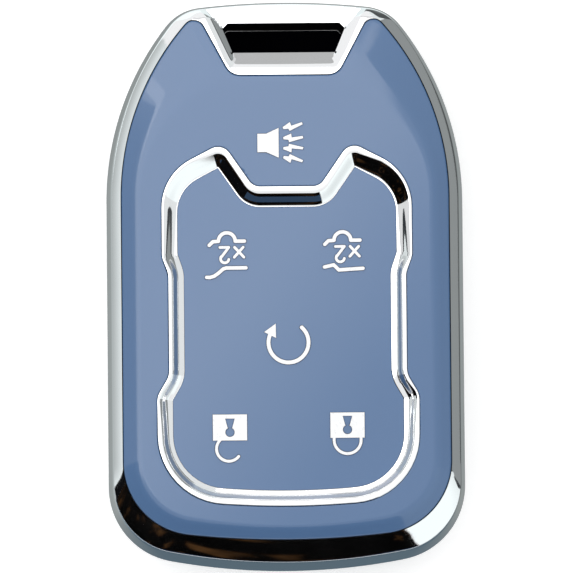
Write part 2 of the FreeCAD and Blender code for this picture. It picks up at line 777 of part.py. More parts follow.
seam_inset = f"wall_inset + bond_gap + {wall_slope} * (seam_level - parting_level)"
carrier_block = inset_loft(
    "carrier_block", (seam_inset, "seam_level"), ("deck_inset + bond_gap", "deck_level"))
front_cavity = inset_loft(
    "front_cavity",
    (f"{seam_inset} + carrier_wall", "seam_level"),
    ("deck_inset + carrier_wall", "deck_level - deck_thickness"),
)
flange_grow = "flange_width + flange_gap"
flange_depth = "face_level + cut_margin - seam_level"
flange_windows = [
    key_window(f"{name}_flange_window", key, flange_grow, "seam_level", flange_depth)
    for name, key in KEYS.items()
]
finish(cut("front_carrier", carrier_block, front_cavity, backing, loop, *flange_windows), "front_carrier")

# rear half
rear_form = inset_loft(
    "rear_form",
    ("rear_face_inset", "rear_face_level"),
    ("rear_turn_inset", "rear_turn_level"),
    ("rear_side_inset", "rear_side_level"),
    ("0", "parting_level"),
)
rear_core = inset_loft("rear_core", ("rear_deck_inset", "rear_skin"), ("wall_inset", "parting_level"))
rear_recess = prism("rear_recess", outline_sketch("rear_recess_edge", rear_panel_outline(), "0"), "rear_skin")
finish(cut("rear_bezel", rear_form, rear_core, rear_recess, slot), "rear_bezel")

rear_panel_edge = outline_sketch("rear_panel_edge", rear_panel_outline(), "0")
finish(prism("rear_plate", rear_panel_edge, "rear_skin"), "rear_panel")

rear_block = inset_loft(
    "rear_block", ("rear_deck_inset + bond_gap", "rear_skin"), ("wall_inset + bond_gap", "parting_level"))
rear_cavity = inset_loft(
    "rear_cavity",
    ("rear_cavity_inset", "rear_cavity_level"),
    ("wall_inset + bond_gap + carrier_wall", "parting_level"),
)
tongue_rise = f"{wall_slope} * (tongue_level - parting_level)"
tongue_block = inset_loft(
    "tongue_block",
    ("wall_inset + tongue_gap", "parting_level"),
    (f"wall_inset + tongue_gap + {tongue_rise}", "tongue_level"),
)
tongue_bore = inset_loft(
    "tongue_bore",
    ("wall_inset + bond_gap + carrier_wall", "parting_level"),
    (f"wall_inset + bond_gap + carrier_wall + {tongue_rise}", "tongue_level"),
)
tray = cut("tray", rear_block, rear_cavity)
tongue = cut("tongue", tongue_block, tongue_bore)
finish(cut("rear_carrier", fuse("rear_tray", tray, tongue), loop), "rear_carrier")

# keys and their symbols
SYMBOLS = {
    "panic": panic_symbol,
    "liftgate": lambda: rear_door_symbol(GATE_LINE_SHARES),
    "rear_glass": lambda: rear_door_symbol(GLASS_LINE_SHARES),
    "start": start_symbol,
    "unlock": unlock_symbol,
    "lock": lock_symbol,
}
for name, key in KEYS.items():
    make_key(f"{name}_key", key)
    make_symbol(f"{name}_icon", SYMBOLS[name](), SYMBOL_PLACE_SHARES[name], key)

doc.recompute()
for item in doc.Objects:
    if "Invalid" in item.State or "Error" in item.State:
        raise RuntimeError(f"{item.Name} did not build: {item.State}")
os.makedirs("parts", exist_ok=True)
for node in nodes:
    if not node.Shape.isValid() or not node.Shape.Solids:
        raise RuntimeError(f"{node.Label} is not a valid solid")
    node.Shape.exportStep(f"parts/{node.Label}.step")
    print(node.Label, len(node.Shape.Solids), round(node.Shape.Volume, 1))
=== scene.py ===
import math
from collections import namedtuple

import bpy
import numpy as np
from mathutils import Matrix, Vector
from mathutils.geometry import delaunay_2d_cdt


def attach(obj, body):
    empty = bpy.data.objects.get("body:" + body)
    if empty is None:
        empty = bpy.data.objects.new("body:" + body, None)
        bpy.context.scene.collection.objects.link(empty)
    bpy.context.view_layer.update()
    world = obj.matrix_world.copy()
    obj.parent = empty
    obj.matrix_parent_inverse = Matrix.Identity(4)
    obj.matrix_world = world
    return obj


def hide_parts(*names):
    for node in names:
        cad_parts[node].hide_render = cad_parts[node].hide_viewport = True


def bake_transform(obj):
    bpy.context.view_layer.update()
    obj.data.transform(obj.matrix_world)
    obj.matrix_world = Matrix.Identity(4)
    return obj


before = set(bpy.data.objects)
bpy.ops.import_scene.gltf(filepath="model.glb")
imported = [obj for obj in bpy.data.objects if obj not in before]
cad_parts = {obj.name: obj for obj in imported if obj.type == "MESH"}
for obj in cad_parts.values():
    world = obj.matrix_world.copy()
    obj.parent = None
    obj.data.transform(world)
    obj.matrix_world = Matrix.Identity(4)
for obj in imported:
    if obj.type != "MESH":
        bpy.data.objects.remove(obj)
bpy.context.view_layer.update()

MM = 0.001

# Cover outline, in millimetres: X across, Y towards the key ring end, Z out of the front face.
BODY_LENGTH, BODY_WIDTH = 84.0, 52.6
HALF_LENGTH, HALF_WIDTH = BODY_LENGTH / 2, BODY_WIDTH / 2
BOTTOM_ROUND, TOP_ROUND = 93.0, 113.0
CORNER_ROUND, TAPER_ROUND = 11.1, 42.4
TIP_ROUND, TIP_LEAST = 7.2, 0.8
SHOULDER = HALF_LENGTH - 29.5
BOTTOM_POINTS, CORNER_POINTS, SIDE_POINTS = 24, 30, 36
TAPER_POINTS, TIP_POINTS, TOP_POINTS = 36, 10, 30

# Levels and insets of the front half.
PARTING, CREASE, BAND, FACE = 9.5, 16.3, 17.6, 19.0
PARTING_GAP = 0.05
CREASE_LINE = dict(inset=0.75, bottom=-HALF_LENGTH + 1.25)
BAND_LINE = dict(
    inset=2.2, bottom=-HALF_LENGTH + 4.6, bottom_round=128.0, corner=10.8,
    shoulder=HALF_LENGTH - 29.3, taper=39.0, tip=2.0,
)
FACE_LINE = dict(
    inset=4.4, bottom=-HALF_LENGTH + 6.3, corner=9.0, tip=2.0,
    shoulder=HALF_LENGTH - 29.2, taper=20.3, top=HALF_LENGTH - 10.4,
)
WALL_INSET, DECK_INSET, DECK = 1.3, 3.2, 16.8
SHELL = 0.9

# Soft edges and seams of the front half.
CREASE_SOFT, FACET_BULGE, FACE_SOFT = 1.2, 0.15, 0.5
SKIN_ROLL, SEAM_GAP, FRAME_GAP = 0.25, 0.1, 0.05
SKIN_STEPS = (0.03, 0.07, 0.13, 0.25)

# Mesh rows of the front half, as shares of the way across its wall, facet and band, and mesh steps.
WALL_ROWS = (0.3, 0.55, 0.7, 0.8, 0.87, 0.93, 0.97)
FACET_ROWS = (0, 0.03, 0.07, 0.12, 0.2, 0.35, 0.5, 0.65, 0.8, 0.9)
BAND_ROWS = np.arange(0.08, 1.6, 0.07)
PANEL_STEP, SLOT_STEP, HOLE_STEP = 0.4, 0.5, 0.8
SKIN_GRID, PAD_GRID = 1.5, 2.0
SEAM_CLEAR, EDGE_CLEAR, EDGE_NUDGE = 0.3, 0.015, 0.005
CORNER_LEAST, CURVE_POINTS = 0.02, 10

# Limits of the mesh tools.
TINY, MERGE, BLOCK = MM ** 4, 1e-5, 1000
NORMAL_STEP, SHARP = 0.002, math.radians(38)

# Key ring window: floor trapezoid, wall runs, lip, and the slot with the black card across its far end, which
# paints the shade down the slot.
WINDOW_FOOT, WINDOW_FLOOR = HALF_LENGTH - 7.95, 16.2
WINDOW_HALF = 7.52
WINDOW_SIDE_RUN, WINDOW_LOWER_RUN, LOWER_WALL_START = 1.1, 2.35, 1.18
SIDE_SLOPE, FOOT_SLOPE, FOOT_SPLAY = 0.75, 5.0, 0.45
# Its side lines: half width at its foot, and splay.
SLOT_SIDE, WALL_SIDE, LIP_SIDE = (WINDOW_HALF, 0.41), (8.64, 0.463), (9.54, 0.53)
LIP_WIDTH, LIP_ROUND, HORN_ROUND = 0.95, 1.5, 1.3
SLOT_WIDTH, SLOT_CHAMFER, SLOT_ROUND = 4.45, 0.8, 0.3
# Level and colour of the black card in the slot: painted shade.
SLOT_SHADE, PAINTED_SHADE_TONE = 1.1, (0.004, 0.004, 0.008, 1)
WINDOW_SOFT, FOOT_SOFT, LIP_SOFT, LIP_SIDE_SOFT = 0.3, 0.08, 0.3, 0.5
WINDOW_STEP = 0.12
WINDOW_RUN, WINDOW_GRID = 3 * WINDOW_STEP, 5 * WINDOW_STEP
GRID_HALF = WINDOW_FOOT / 3
WINDOW_ROWS = np.arange(-1.5 * WINDOW_SIDE_RUN, WINDOW_SIDE_RUN, WINDOW_STEP)

# Keypad frame.
FRAME_FOOT_INSET, FRAME_PEAK_INSET = 9.65, 21.0
FRAME_FOOT = -HALF_LENGTH + FRAME_FOOT_INSET
FRAME_LENGTH = BODY_LENGTH - FRAME_FOOT_INSET - FRAME_PEAK_INSET
FRAME_PEAK = FRAME_FOOT + FRAME_LENGTH
FRAME_LOWER, FRAME_WAIST, FRAME_UPPER = HALF_WIDTH - 7.05, HALF_WIDTH - 8.8, HALF_WIDTH - 7.9
FRAME_MIDDLE, FRAME_CORNER, FRAME_BOW_ROUND = FRAME_FOOT - 0.4, FRAME_FOOT + 0.75, 120.0
FRAME_SHOULDER, FRAME_NOTCH = FRAME_PEAK - 4.8, FRAME_PEAK - 6.5
PEAK_HALF, NOTCH_HALF = 9.3, 4.8
LOWER_STEP = [FRAME_FOOT + share * FRAME_LENGTH for share in (0.3027, 0.359)]
UPPER_STEP = [FRAME_FOOT + share * FRAME_LENGTH for share in (0.6345, 0.6832)]
LOWER_MOVE, UPPER_MOVE, STEP_ROUND = (-1, -0.257), (-1, 0.194), 3.0
# Its right-hand corners from the lower edge up, each with its inset direction, radius and turn.
FRAME_CORNERS = (
    (FRAME_LOWER, FRAME_CORNER, (-1, 1), 10.2, "out"),
    (FRAME_LOWER, LOWER_STEP[0], LOWER_MOVE, STEP_ROUND, "out"),
    (FRAME_WAIST, LOWER_STEP[1], LOWER_MOVE, STEP_ROUND, "in"),
    (FRAME_WAIST, UPPER_STEP[0], UPPER_MOVE, STEP_ROUND, "in"),
    (FRAME_UPPER, UPPER_STEP[1], UPPER_MOVE, STEP_ROUND, "out"),
    (FRAME_UPPER, FRAME_SHOULDER, (-1, -0.943), 8.0, "out"),
    (PEAK_HALF, FRAME_PEAK, (0.306, -1.631), 2.2, "out"),
    (NOTCH_HALF, FRAME_NOTCH, (0.515, -1.33), 1.8, "in"),
)
# Shares of the frame's width that its outer and inner lips take at those corners.
OUTER_LIP = (0.3, 0.13, 0.24, 0.24, 0.1, 0.13, 0.31, 0.345)
INNER_LIP = (0.24, 0.3, 0.34, 0.34, 0.22, 0.06, 0.04, 0.06)
FRAME_LEAST_ROUND, FRAME_POINTS = 0.15, 12
FRAME_WIDTH, FRAME_EDGE_ROUND = 2.25, 0.12
FRAME_SHIFT, FRAME_TRIM, FRAME_WALL_CURVE = 0.2, 0.1, 0.4
FRAME_TOP, FRAME_LOW = FACE + 0.15, 18.05
FRAME_EDGE_ROWS, FRAME_WALL_ROWS = 5, 25
INNER_LIP_FLAT, INNER_LIP_DROP = 0.9, 0.04
PAD = 18.0

# Keys: place, cap size, level of the skin round them and width of the strips that hold them.
KEY_CAP, PANIC_CAP = (9.0, 8.6), (10.0, 7.4)
PANIC_ROW = HALF_LENGTH - 21.2
GATE_ROW, START_ROW, LOCK_ROW = (FRAME_FOOT + share * FRAME_LENGTH for share in (0.6926, 0.4536, 0.1893))
GATE_COLUMN = 0.5325 * (FRAME_UPPER - FRAME_WIDTH)
LOCK_COLUMN = 0.506 * (FRAME_LOWER - FRAME_WIDTH)
HINGE_WIDTH, PANIC_HINGE = 1.2, 0.9
Key = namedtuple("Key", "x y cap top hinge", defaults=(KEY_CAP, PAD, HINGE_WIDTH))
KEYS = {
    "panic": Key(0, PANIC_ROW, PANIC_CAP, FACE, PANIC_HINGE),
    "liftgate": Key(-GATE_COLUMN, GATE_ROW),
    "rear_glass": Key(GATE_COLUMN, GATE_ROW),
    "start": Key(0, START_ROW),
    "unlock": Key(-LOCK_COLUMN, LOCK_ROW),
    "lock": Key(LOCK_COLUMN, LOCK_ROW),
}
CAP_ROUND, BOSS_ROUND = 2.0, 1.2
FLANGE_WIDTH, FLANGE_THICKNESS = 0.7, 0.6
BOSS_INSET, BOSS_THICKNESS = 2.0, 1.0
HINGE_THICKNESS, HINGE_ROWS, HINGE_POINTS = 0.5, 8, 4
HINGE_SIDES = {"right": (1, 0), "top": (0, 1), "left": (-1, 0), "bottom": (0, -1)}
# Painted shadow: dark lines round the symbols, the shade at their raised edges.
SHADOW_LINE_WIDTH, SHADOW_LINE_RISE = 0.1, 0.012
SPOT_DIGITS, UPRIGHT, LEAST_PULL = 3, 0.5, 0.001

# Rear half: insets and levels of its rounded back, its blue panel, and its mesh rows.
REAR_STATIONS = ((0, PARTING), (0.9, 3.4), (2.4, 1.2), (4.2, 0.3))
REAR_SKIN, REAR_DECK_INSET, REAR_SOFT = 1.5, 3.6, 0.5
REAR_PANEL_LINE = dict(inset=5.2, corner=8.0, tip=5.0, top=HALF_LENGTH - 11.0)
REAR_PANEL_MOVES = dict(inset=1, corner=-1, tip=-1, top=-1)
REAR_PANEL_ROUND, REAR_SLOT_ROLL, REAR_EDGE_ROWS = 0.35, 0.4, 7
REAR_ROWS = (*np.arange(0.1, 1.5, 0.1), *np.arange(1.6, 5.2, 0.2))
REAR_SLOT_STEPS = (0.04, 0.1, 0.18, 0.28, 0.4)
REAR_END, REAR_STEP = (HALF_LENGTH - 12, HALF_LENGTH - 5.4), 0.4

# Colours, and the span of a noise that is spread over a range.
PALE_METAL = ((0.84, 0.85, 0.86), (0.9, 0.91, 0.92))
BLUE_TONES = ((0.08, 0.162, 0.32), (0.087, 0.17, 0.33))
BLACK_TONES = ((0.008, 0.008, 0.009), (0.016, 0.016, 0.017))
# Dark blues of the painted shadow lines round the symbols.
SHADOW_LINE_TONES = ((0.028, 0.05, 0.1), (0.036, 0.06, 0.115))
NOISE_SPAN = (0.3, 0.7)

# Floor, softbox and sky.
FLOOR, FLOOR_HALF, FLOOR_LIFT = -0.02, 3000.0, 0.36
FLOOR_TONE, FLOOR_ROUGHNESS, WHITE = (0.95, 0.95, 0.95, 1), 0.9, (1, 1, 1, 1)
SOFTBOX_PLACE, SOFTBOX_SIZE, SOFTBOX_RADIANCE = (-420, 160, 700), 480, 1.5
HORIZON, ZENITH = (0.5, 0.5, 0.5), (1.1, 1.1, 1.1)
SKY_STRENGTHS, SKY_SPAN = (0.75, 1.1), (-0.8, 0.4)

# Cards round the cover that show only in reflections: turns from X and heights in degrees, and radiance.
CARD_REACH, NEAR_REACH, CARD_STEPS = 700.0, 690.0, 24
DARK, LINE_GREY = (0.003, 0.003, 0.004), (0.04, 0.045, 0.05)
EVEN_CARDS = (
    ("front_low", (228, 294), (-3, 27), (0.03, 0.055, 0.1)),
    ("front_left", (195, 228), (-3, 17), DARK),
    ("front_step", (184, 228), (17, 27), DARK),
    ("right_line", (350, 410), (17, 22), LINE_GREY),
    ("right_middle", (350, 440), (22, 64), (0.85, 0.87, 0.87)),
    ("left_line", (160, 184), (17, 20.5), LINE_GREY),
    ("left_high", (140, 184), (20.5, 50), (0.8, 0.8, 0.8)),
    ("end_left", (80, 140), (-6, 40), (1.0, 1.0, 1.0)),
)
# The same, with light that changes along a direction: two radiances, the run between them, tint and reach.
COOL, PLAIN = (0.94, 1.0, 1.0), (1, 1, 1)
SLANTED_CARDS = (
    ("corner_card", (295, 350), (-3, 60), (0, 0, 1), (0.7, 1.15), (0, 400), COOL, CARD_REACH),
    ("right_low", (350, 440), (-8, 17), (0, 1, 0), (0.31, 0.9), (555, 570), COOL, CARD_REACH),
    ("left_card", (140, 194), (-8, 17), (0, 0, 1), (0.5, 0.92), (0, 200), COOL, CARD_REACH),
    ("end_low_right", (80, 90), (15.5, 25), (1, 0, 0), (0.52, 1.0), (100, 400), PLAIN, NEAR_REACH),
    ("end_low_left", (90, 100), (15.5, 25), (-1, 0, 0), (0.52, 1.0), (100, 400), PLAIN, NEAR_REACH),
)
# The dark card with warm patches, and the level cards above and below.
FLAG_TURNS, FLAG_HEIGHTS = (184, 294), (27, 58)
FLAG_TONES, FLAG_SCALE, FLAG_SPAN = ((0.001, 0.001, 0.001), (0.07, 0.033, 0.012)), 16, (0.57, 0.74)
CEILING_CORNERS, CEILING = ((-450, -70), (340, 450)), 700
CEILING_SLANT, CEILING_LIGHT, CEILING_RUN = (0.8, -0.6, 0), (3.05, 1.15), (-12, 30)
FLOOR_CORNERS, FLOOR_CARD = ((-700, -100), (700, 700)), 0.1
FLOOR_TONES, TONE_RUN = ((0.105, 0.15, 0.185), (0.29, 0.315, 0.315)), (-44, -34)
LEFT_STRENGTHS, LEFT_RUN = (1.65, 1), (-34, -27.5)
END_STRENGTHS, END_RUN = (0, 2.2), (43.5, 44.5)
END_SHARES, END_SIDE_RUN = (1, 0), (19, 27)
FAR_SHARES, FAR_RUN = (1, 0.3), (36, 60)

# Camera: the cover seen almost square on, from slightly below and left, turned a little.
IMAGE = 573
CAMERA_TILT, CAMERA_SIDE, CAMERA_ROLL = np.radians((2.0, 0.8, 0.5))
CAMERA_DISTANCE = 900.0
PIXELS_PER_MM = 6.77
COVER_PIXEL = (285.2, 286.5)
SENSOR = 36.0


def between(first, second, share):
    """Value a share of the way along."""
    return first + (second - first) * share


def arc_points(centre, radius, first, last, count):
    """Points along an arc, without its first one."""
    turns = first + (last - first) * np.arange(1, count + 1) / count
    return np.column_stack((centre[0] + radius * np.cos(turns), centre[1] + radius * np.sin(turns)))


def line_points(start, end, count):
    """Points along a straight run, without its first one."""
    shares = np.arange(1, count + 1)[:, None] / count
    return np.asarray(start) + (np.asarray(end) - np.asarray(start)) * shares


def heading(vector):
    """Angle of a plan vector."""
    return math.atan2(vector[1], vector[0])


def cover_loop(
    inset=0.0, bottom=None, bottom_round=None, corner=None, shoulder=SHOULDER, taper=None, tip=None, top=None,
):
    """Plan outline of the cover drawn in by an inset, anticlockwise from the middle of its bottom edge."""
    half = HALF_WIDTH - inset
    bottom = -HALF_LENGTH + inset if bottom is None else bottom
    top = HALF_LENGTH - inset if top is None else top
    corner = CORNER_ROUND - inset if corner is None else corner
    taper = TAPER_ROUND - inset if taper is None else taper
    tip = max(TIP_ROUND - inset, TIP_LEAST) if tip is None else tip
    bottom_round = BOTTOM_ROUND - inset if bottom_round is None else bottom_round
    top_round = TOP_ROUND - inset
    bottom_centre = np.array((0, bottom + bottom_round))
    top_centre = np.array((0, top - top_round))
    drop = math.sqrt((bottom_round - corner) ** 2 - (half - corner) ** 2)
    corner_centre = np.array((half - corner, bottom_centre[1] - drop))
    taper_centre = np.array((half - taper, shoulder))
    tip_centre = outer_crossing(taper_centre, taper - tip, top_centre, top_round - tip)
    turn_corner = heading(corner_centre - bottom_centre)
    turn_taper = heading(tip_centre - taper_centre)
    turn_tip = heading(tip_centre - top_centre)
    right = np.vstack((
        [(0, bottom)],
        arc_points(bottom_centre, bottom_round, -math.pi / 2, turn_corner, BOTTOM_POINTS),
        arc_points(corner_centre, corner, turn_corner, 0, CORNER_POINTS),
        line_points((half, corner_centre[1]), (half, shoulder), SIDE_POINTS),
        arc_points(taper_centre, taper, 0, turn_taper, TAPER_POINTS),
        arc_points(tip_centre, tip, turn_taper, turn_tip, TIP_POINTS),
        arc_points(top_centre, top_round, turn_tip, math.pi / 2, TOP_POINTS),
    ))
    return np.vstack((right, right[-2:0:-1] * (-1, 1)))


def outer_crossing(first, first_radius, second, second_radius):
    """Crossing of two circles that lies further along X."""
    apart = second - first
    reach = np.linalg.norm(apart)
    along = (first_radius ** 2 - second_radius ** 2 + reach ** 2) / (2 * reach)
    aside = math.sqrt(first_radius ** 2 - along ** 2)
    step = apart / reach
    sides = (np.array((-step[1], step[0])), np.array((step[1], -step[0])))
    return max((first + step * along + side * aside for side in sides), key=lambda point: point[0])


def rounded_loop(corners, count=8):
    """Closed loop through corners given as x, y and radius."""
    points = np.array([corner[:2] for corner in corners], float)
    loop = []
    for number, (point, (_, _, radius)) in enumerate(zip(points, corners)):
        back = points[number - 1] - point
        ahead = points[(number + 1) % len(points)] - point
        back, ahead = back / np.linalg.norm(back), ahead / np.linalg.norm(ahead)
        half_angle = math.acos(np.clip(back @ ahead, -1, 1)) / 2
        middle = (back + ahead) / np.linalg.norm(back + ahead)
        centre = point + middle * radius / math.sin(half_angle)
        entry = point + back * radius / math.tan(half_angle)
        leave = point + ahead * radius / math.tan(half_angle)
        first = heading(entry - centre)
        turn = (heading(leave - centre) - first + math.pi) % (2 * math.pi) - math.pi
        loop += [entry, *arc_points(centre, radius, first, first + turn, count)]
    return np.array(loop)


def frame_loop(inset):
    """Keypad frame outline drawn in by an inset."""
    inset += FRAME_TRIM
    right = []
    for across, along, (move_across, move_along), radius, turn in FRAME_CORNERS:
        rounding = max(radius - inset, FRAME_LEAST_ROUND) if turn == "out" else radius + inset
        right.append((across + move_across * inset, along + move_along * inset, rounding))
    left = [(-x, y, radius) for x, y, radius in reversed(right)]
    middle = (0, FRAME_MIDDLE + inset, FRAME_BOW_ROUND - inset)
    return rounded_loop([*right, *left, middle], FRAME_POINTS) + (FRAME_SHIFT, 0)


def block_loop(key, grow, radius, count=6):
    """Rounded rectangle round a key."""
    half_x, half_y = key.cap[0] / 2 + grow, key.cap[1] / 2 + grow
    signs = ((1, -1), (1, 1), (-1, 1), (-1, -1))
    return rounded_loop([(key.x + a * half_x, key.y + b * half_y, radius) for a, b in signs], count)


def split_runs(loop, longest):
    """Loop with its long runs divided."""
    points = []
    for start, end in zip(loop, np.roll(loop, -1, axis=0)):
        count = max(1, math.ceil(np.linalg.norm(end - start) / longest))
        points += [start + (end - start) * step / count for step in range(count)]
    return np.array(points)


def inward(loop, step):
    """Loop moved in by a small step along its normals."""
    run = np.roll(loop, -1, axis=0) - np.roll(loop, 1, axis=0)
    run /= np.linalg.norm(run, axis=1)[:, None]
    return loop + np.column_stack((-run[:, 1], run[:, 0])) * step


def grid_points(low, high, step):
    """Points of a square grid between two corners."""
    across, along = np.meshgrid(np.arange(low[0], high[0], step), np.arange(low[1], high[1], step))
    return np.column_stack((across.ravel(), along.ravel()))


def half_at(y, side):
    """Half width of the key ring window at a side line: its slot, the top of its wall or its lip."""
    half, splay = side
    return half + splay * (y - WINDOW_FOOT)


def curved_corner(start, corner, end):
    """Curve from one point to another that rounds off the corner between them."""
    shares = np.linspace(0, 1, CURVE_POINTS + 1)[:, None]
    return start * (1 - shares) ** 2 + 2 * corner * shares * (1 - shares) + end * shares ** 2


def panel_loop():
    """Edge of the blue front panel: the band outline, notched by the lip of the key ring window."""
    foot = WINDOW_FOOT - WINDOW_LOWER_RUN - LIP_WIDTH
    band = cover_loop(**BAND_LINE)
    band = band[:len(band) // 2 + 1]
    over = band[:, 0] - half_at(band[:, 1], LIP_SIDE)
    last = np.flatnonzero((over > 0) | (band[:, 1] < foot))[-1]
    tip = between(band[last], band[last + 1], over[last] / (over[last] - over[last + 1]))
    kept = band[:last + 1]
    kept = kept[np.linalg.norm(kept - tip, axis=1) > HORN_ROUND]
    corner = np.array((half_at(foot, LIP_SIDE), foot))
    down = (corner - tip) / np.linalg.norm(corner - tip)
    horn = curved_corner(kept[-1], tip, tip + down * HORN_ROUND)
    lip = curved_corner(corner - down * LIP_ROUND, corner, corner - (LIP_ROUND, 0))
    right = np.vstack((kept[:-1], horn, lip))
    return split_runs(np.vstack((right, right[:0:-1] * (-1, 1))), PANEL_STEP)


def slot_loop():
    """Outline of the key ring slot, with its far corners cut off."""
    upper = WINDOW_FOOT + SLOT_WIDTH
    wide = half_at(upper - SLOT_CHAMFER, SLOT_SIDE)
    right = [
        (WINDOW_HALF, WINDOW_FOOT, SLOT_ROUND),
        (wide, upper - SLOT_CHAMFER, SLOT_ROUND),
        (wide - SLOT_CHAMFER, upper, SLOT_ROUND),
    ]
    return rounded_loop(right + [(-x, y, radius) for x, y, radius in reversed(right)])


def distance(points, loop):
    """Distance from each point to a closed loop."""
    start_x, start_y = loop.T
    run_x, run_y = (np.roll(loop, -1, axis=0) - loop).T
    square = np.maximum(run_x ** 2 + run_y ** 2, TINY)
    found = []
    for block in np.array_split(points, max(1, len(points) // BLOCK)):
        off_x = block[:, :1] - start_x
        off_y = block[:, 1:] - start_y
        share = np.clip((off_x * run_x + off_y * run_y) / square, 0, 1)
        off_x -= share * run_x
        off_y -= share * run_y
        found.append((off_x ** 2 + off_y ** 2).min(axis=1))
    return np.sqrt(np.concatenate(found))


def inside(points, loop):
    """Whether each point lies inside a closed loop."""
    crossed = np.zeros(len(points), bool)
    for (x0, y0), (x1, y1) in zip(loop, np.roll(loop, -1, axis=0)):
        if y0 == y1:
            continue
        spans = (points[:, 1] < y0) != (points[:, 1] < y1)
        crossed ^= spans & (points[:, 0] < x0 + (points[:, 1] - y0) * (x1 - x0) / (y1 - y0))
    return crossed


def depth(points, loop):
    """Distance inside a loop, negative outside it."""
    return np.where(inside(points, loop), 1, -1) * distance(points, loop)


def clear_of(points, edges, margin):
    """Whether each point lies in a region, clear of its edges: an outer loop and its holes."""
    kept = inside(points, edges[0]) & (distance(points, edges[0]) > margin)
    for hole in edges[1:]:
        kept &= ~inside(points, hole) & (distance(points, hole) > margin)
    return kept


def soft_min(first, second, width):
    """Lower of two levels, with a rounded change between them."""
    share = np.clip(0.5 + 0.5 * (second - first) / width, 0, 1)
    return second * (1 - share) + first * share - width * share * (1 - share)


def soft_max(first, second, width):
    """Upper of two levels, with a rounded change between them."""
    return -soft_min(-first, -second, width)


def rolled_edge(reach, radius):
    """Drop of a surface towards an edge that is rounded over."""
    near = np.clip(1 - np.maximum(reach, 0) / radius, 0, 1)
    return radius * (1 - np.sqrt(1 - near ** 2))


def plan_points(edges, rows, seams, loose):
    """Points of a plan region, the places where their normals are taken, and the links that join them up."""
    points, probes, links, first = [], [], [], 0
    for number, edge in enumerate(edges):
        points.append(edge)
        probes.append(inward(edge, -EDGE_NUDGE if number else EDGE_NUDGE))
        links += [(first + k, first + (k + 1) % len(edge)) for k in range(len(edge))]
        first += len(edge)
    for row, margin in [(row, SEAM_CLEAR) for row in rows] + [(seam, EDGE_CLEAR) for seam in seams]:
        kept = clear_of(row, edges, margin)
        numbers = first + np.cumsum(kept) - 1
        starts = np.flatnonzero(kept & np.roll(kept, -1))
        links += [(numbers[k], numbers[(k + 1) % len(row)]) for k in starts]
        points.append(row[kept])
        probes.append(row[kept])
        first += len(points[-1])
    loose = loose[clear_of(loose, edges, SEAM_CLEAR)]
    return np.vstack((*points, loose)), np.vstack((*probes, loose)), links


def plan_triangles(points, links, edges):
    """Points of the triangles over a plan region, the triangles, and the given points behind each point."""
    places = [Vector(point) for point in points]
    flat, _, triangles, origins, *_ = delaunay_2d_cdt(places, links, [], 0, MERGE)
    flat, triangles = np.array([tuple(point) for point in flat]), np.array(triangles)
    middles = flat[triangles].mean(axis=1)
    kept = inside(middles, edges[0])
    for hole in edges[1:]:
        kept &= ~inside(middles, hole)
    triangles = triangles[kept]
    first_run, second_run = (flat[triangles[:, k]] - flat[triangles[:, 0]] for k in (1, 2))
    clockwise = first_run[:, 0] * second_run[:, 1] < first_run[:, 1] * second_run[:, 0]
    triangles[clockwise] = triangles[clockwise][:, ::-1]
    return flat, triangles, origins


def drape(name, edges, rows, loose, upper, lower, seams=(), shown="upper"):
    """Closed mesh over a plan region between an upper and a lower face.

    Edges are the loops of the region, rows and seams are loops of inner points that stay joined up, and loose
    points are joined freely. The shown face is smooth and has material 0, the hidden faces have material 1.
    """
    points, probes, links = plan_points(edges, rows, seams, loose)
    flat, triangles, origins = plan_triangles(points, links, edges)
    probes = np.array([probes[origin[0]] if origin else place for origin, place in zip(origins, flat)])
    runs = {(start, end) for triangle in triangles for start, end in zip(triangle, np.roll(triangle, -1))}
    rim = sorted((start, end) for start, end in runs if (end, start) not in runs)
    count = len(flat)
    top = np.column_stack((flat, upper(flat)))
    base = np.column_stack((flat, np.minimum(lower(flat, top[:, 2]), top[:, 2])))
    sheets = [triangles, triangles[:, ::-1] + count]
    if shown == "lower":
        sheets.reverse()
    walls = [(start, start + count, end + count, end) for start, end in rim]
    piece = new_mesh(name, np.vstack((top, base)), [*sheets[0], *sheets[1], *walls])
    mesh = piece.data
    hidden = np.arange(len(mesh.polygons)) >= len(triangles)
    mesh.polygons.foreach_set("material_index", hidden.astype(np.int32))
    mesh.polygons.foreach_set("use_smooth", ~hidden)
    slopes = surface_normals(probes, upper) if shown == "upper" else -surface_normals(probes, lower)
    normals = np.zeros((len(mesh.loops), 3))
    normals[:triangles.size] = slopes[sheets[0].ravel() % count]
    mesh.normals_split_custom_set(normals.tolist())
    return piece


def surface_normals(points, level):
    """Upward normals of a level surface."""
    here = level(points)
    slope_x = (level(points + (NORMAL_STEP, 0)) - here) / NORMAL_STEP
    slope_y = (level(points + (0, NORMAL_STEP)) - here) / NORMAL_STEP
    normals = np.column_stack((-slope_x, -slope_y, np.ones(len(points))))
    return normals / np.linalg.norm(normals, axis=1)[:, None]


def loft(name, loops, closed=False):
    """Mesh through matching loops given as points with levels, capped at its ends or closed on itself."""
    count = len(loops[0][0])
    points = np.vstack([np.column_stack((loop, np.full(count, level))) for loop, level in loops])
    faces = []
    rings = len(loops)
    for ring in range(rings if closed else rings - 1):
        low, high = ring * count, (ring + 1) % rings * count
        for k in range(count):
            ahead = (k + 1) % count
            faces.append((low + k, low + ahead, high + ahead, high + k))
    if not closed:
        faces += [range(count - 1, -1, -1), range((rings - 1) * count, rings * count)]
    return new_mesh(name, points, faces)


def new_mesh(name, points, faces):
    """Object of a mesh given in millimetres, smooth but for its sharp edges."""
    mesh = bpy.data.meshes.new(name)
    mesh.from_pydata([tuple(point) for point in points * MM], [], [tuple(map(int, face)) for face in faces])
    mesh.validate()
    mesh.shade_smooth()
    mesh.set_sharp_from_angle(angle=SHARP)
    piece = bpy.data.objects.new(name, mesh)
    bpy.context.scene.collection.objects.link(piece)
    return piece


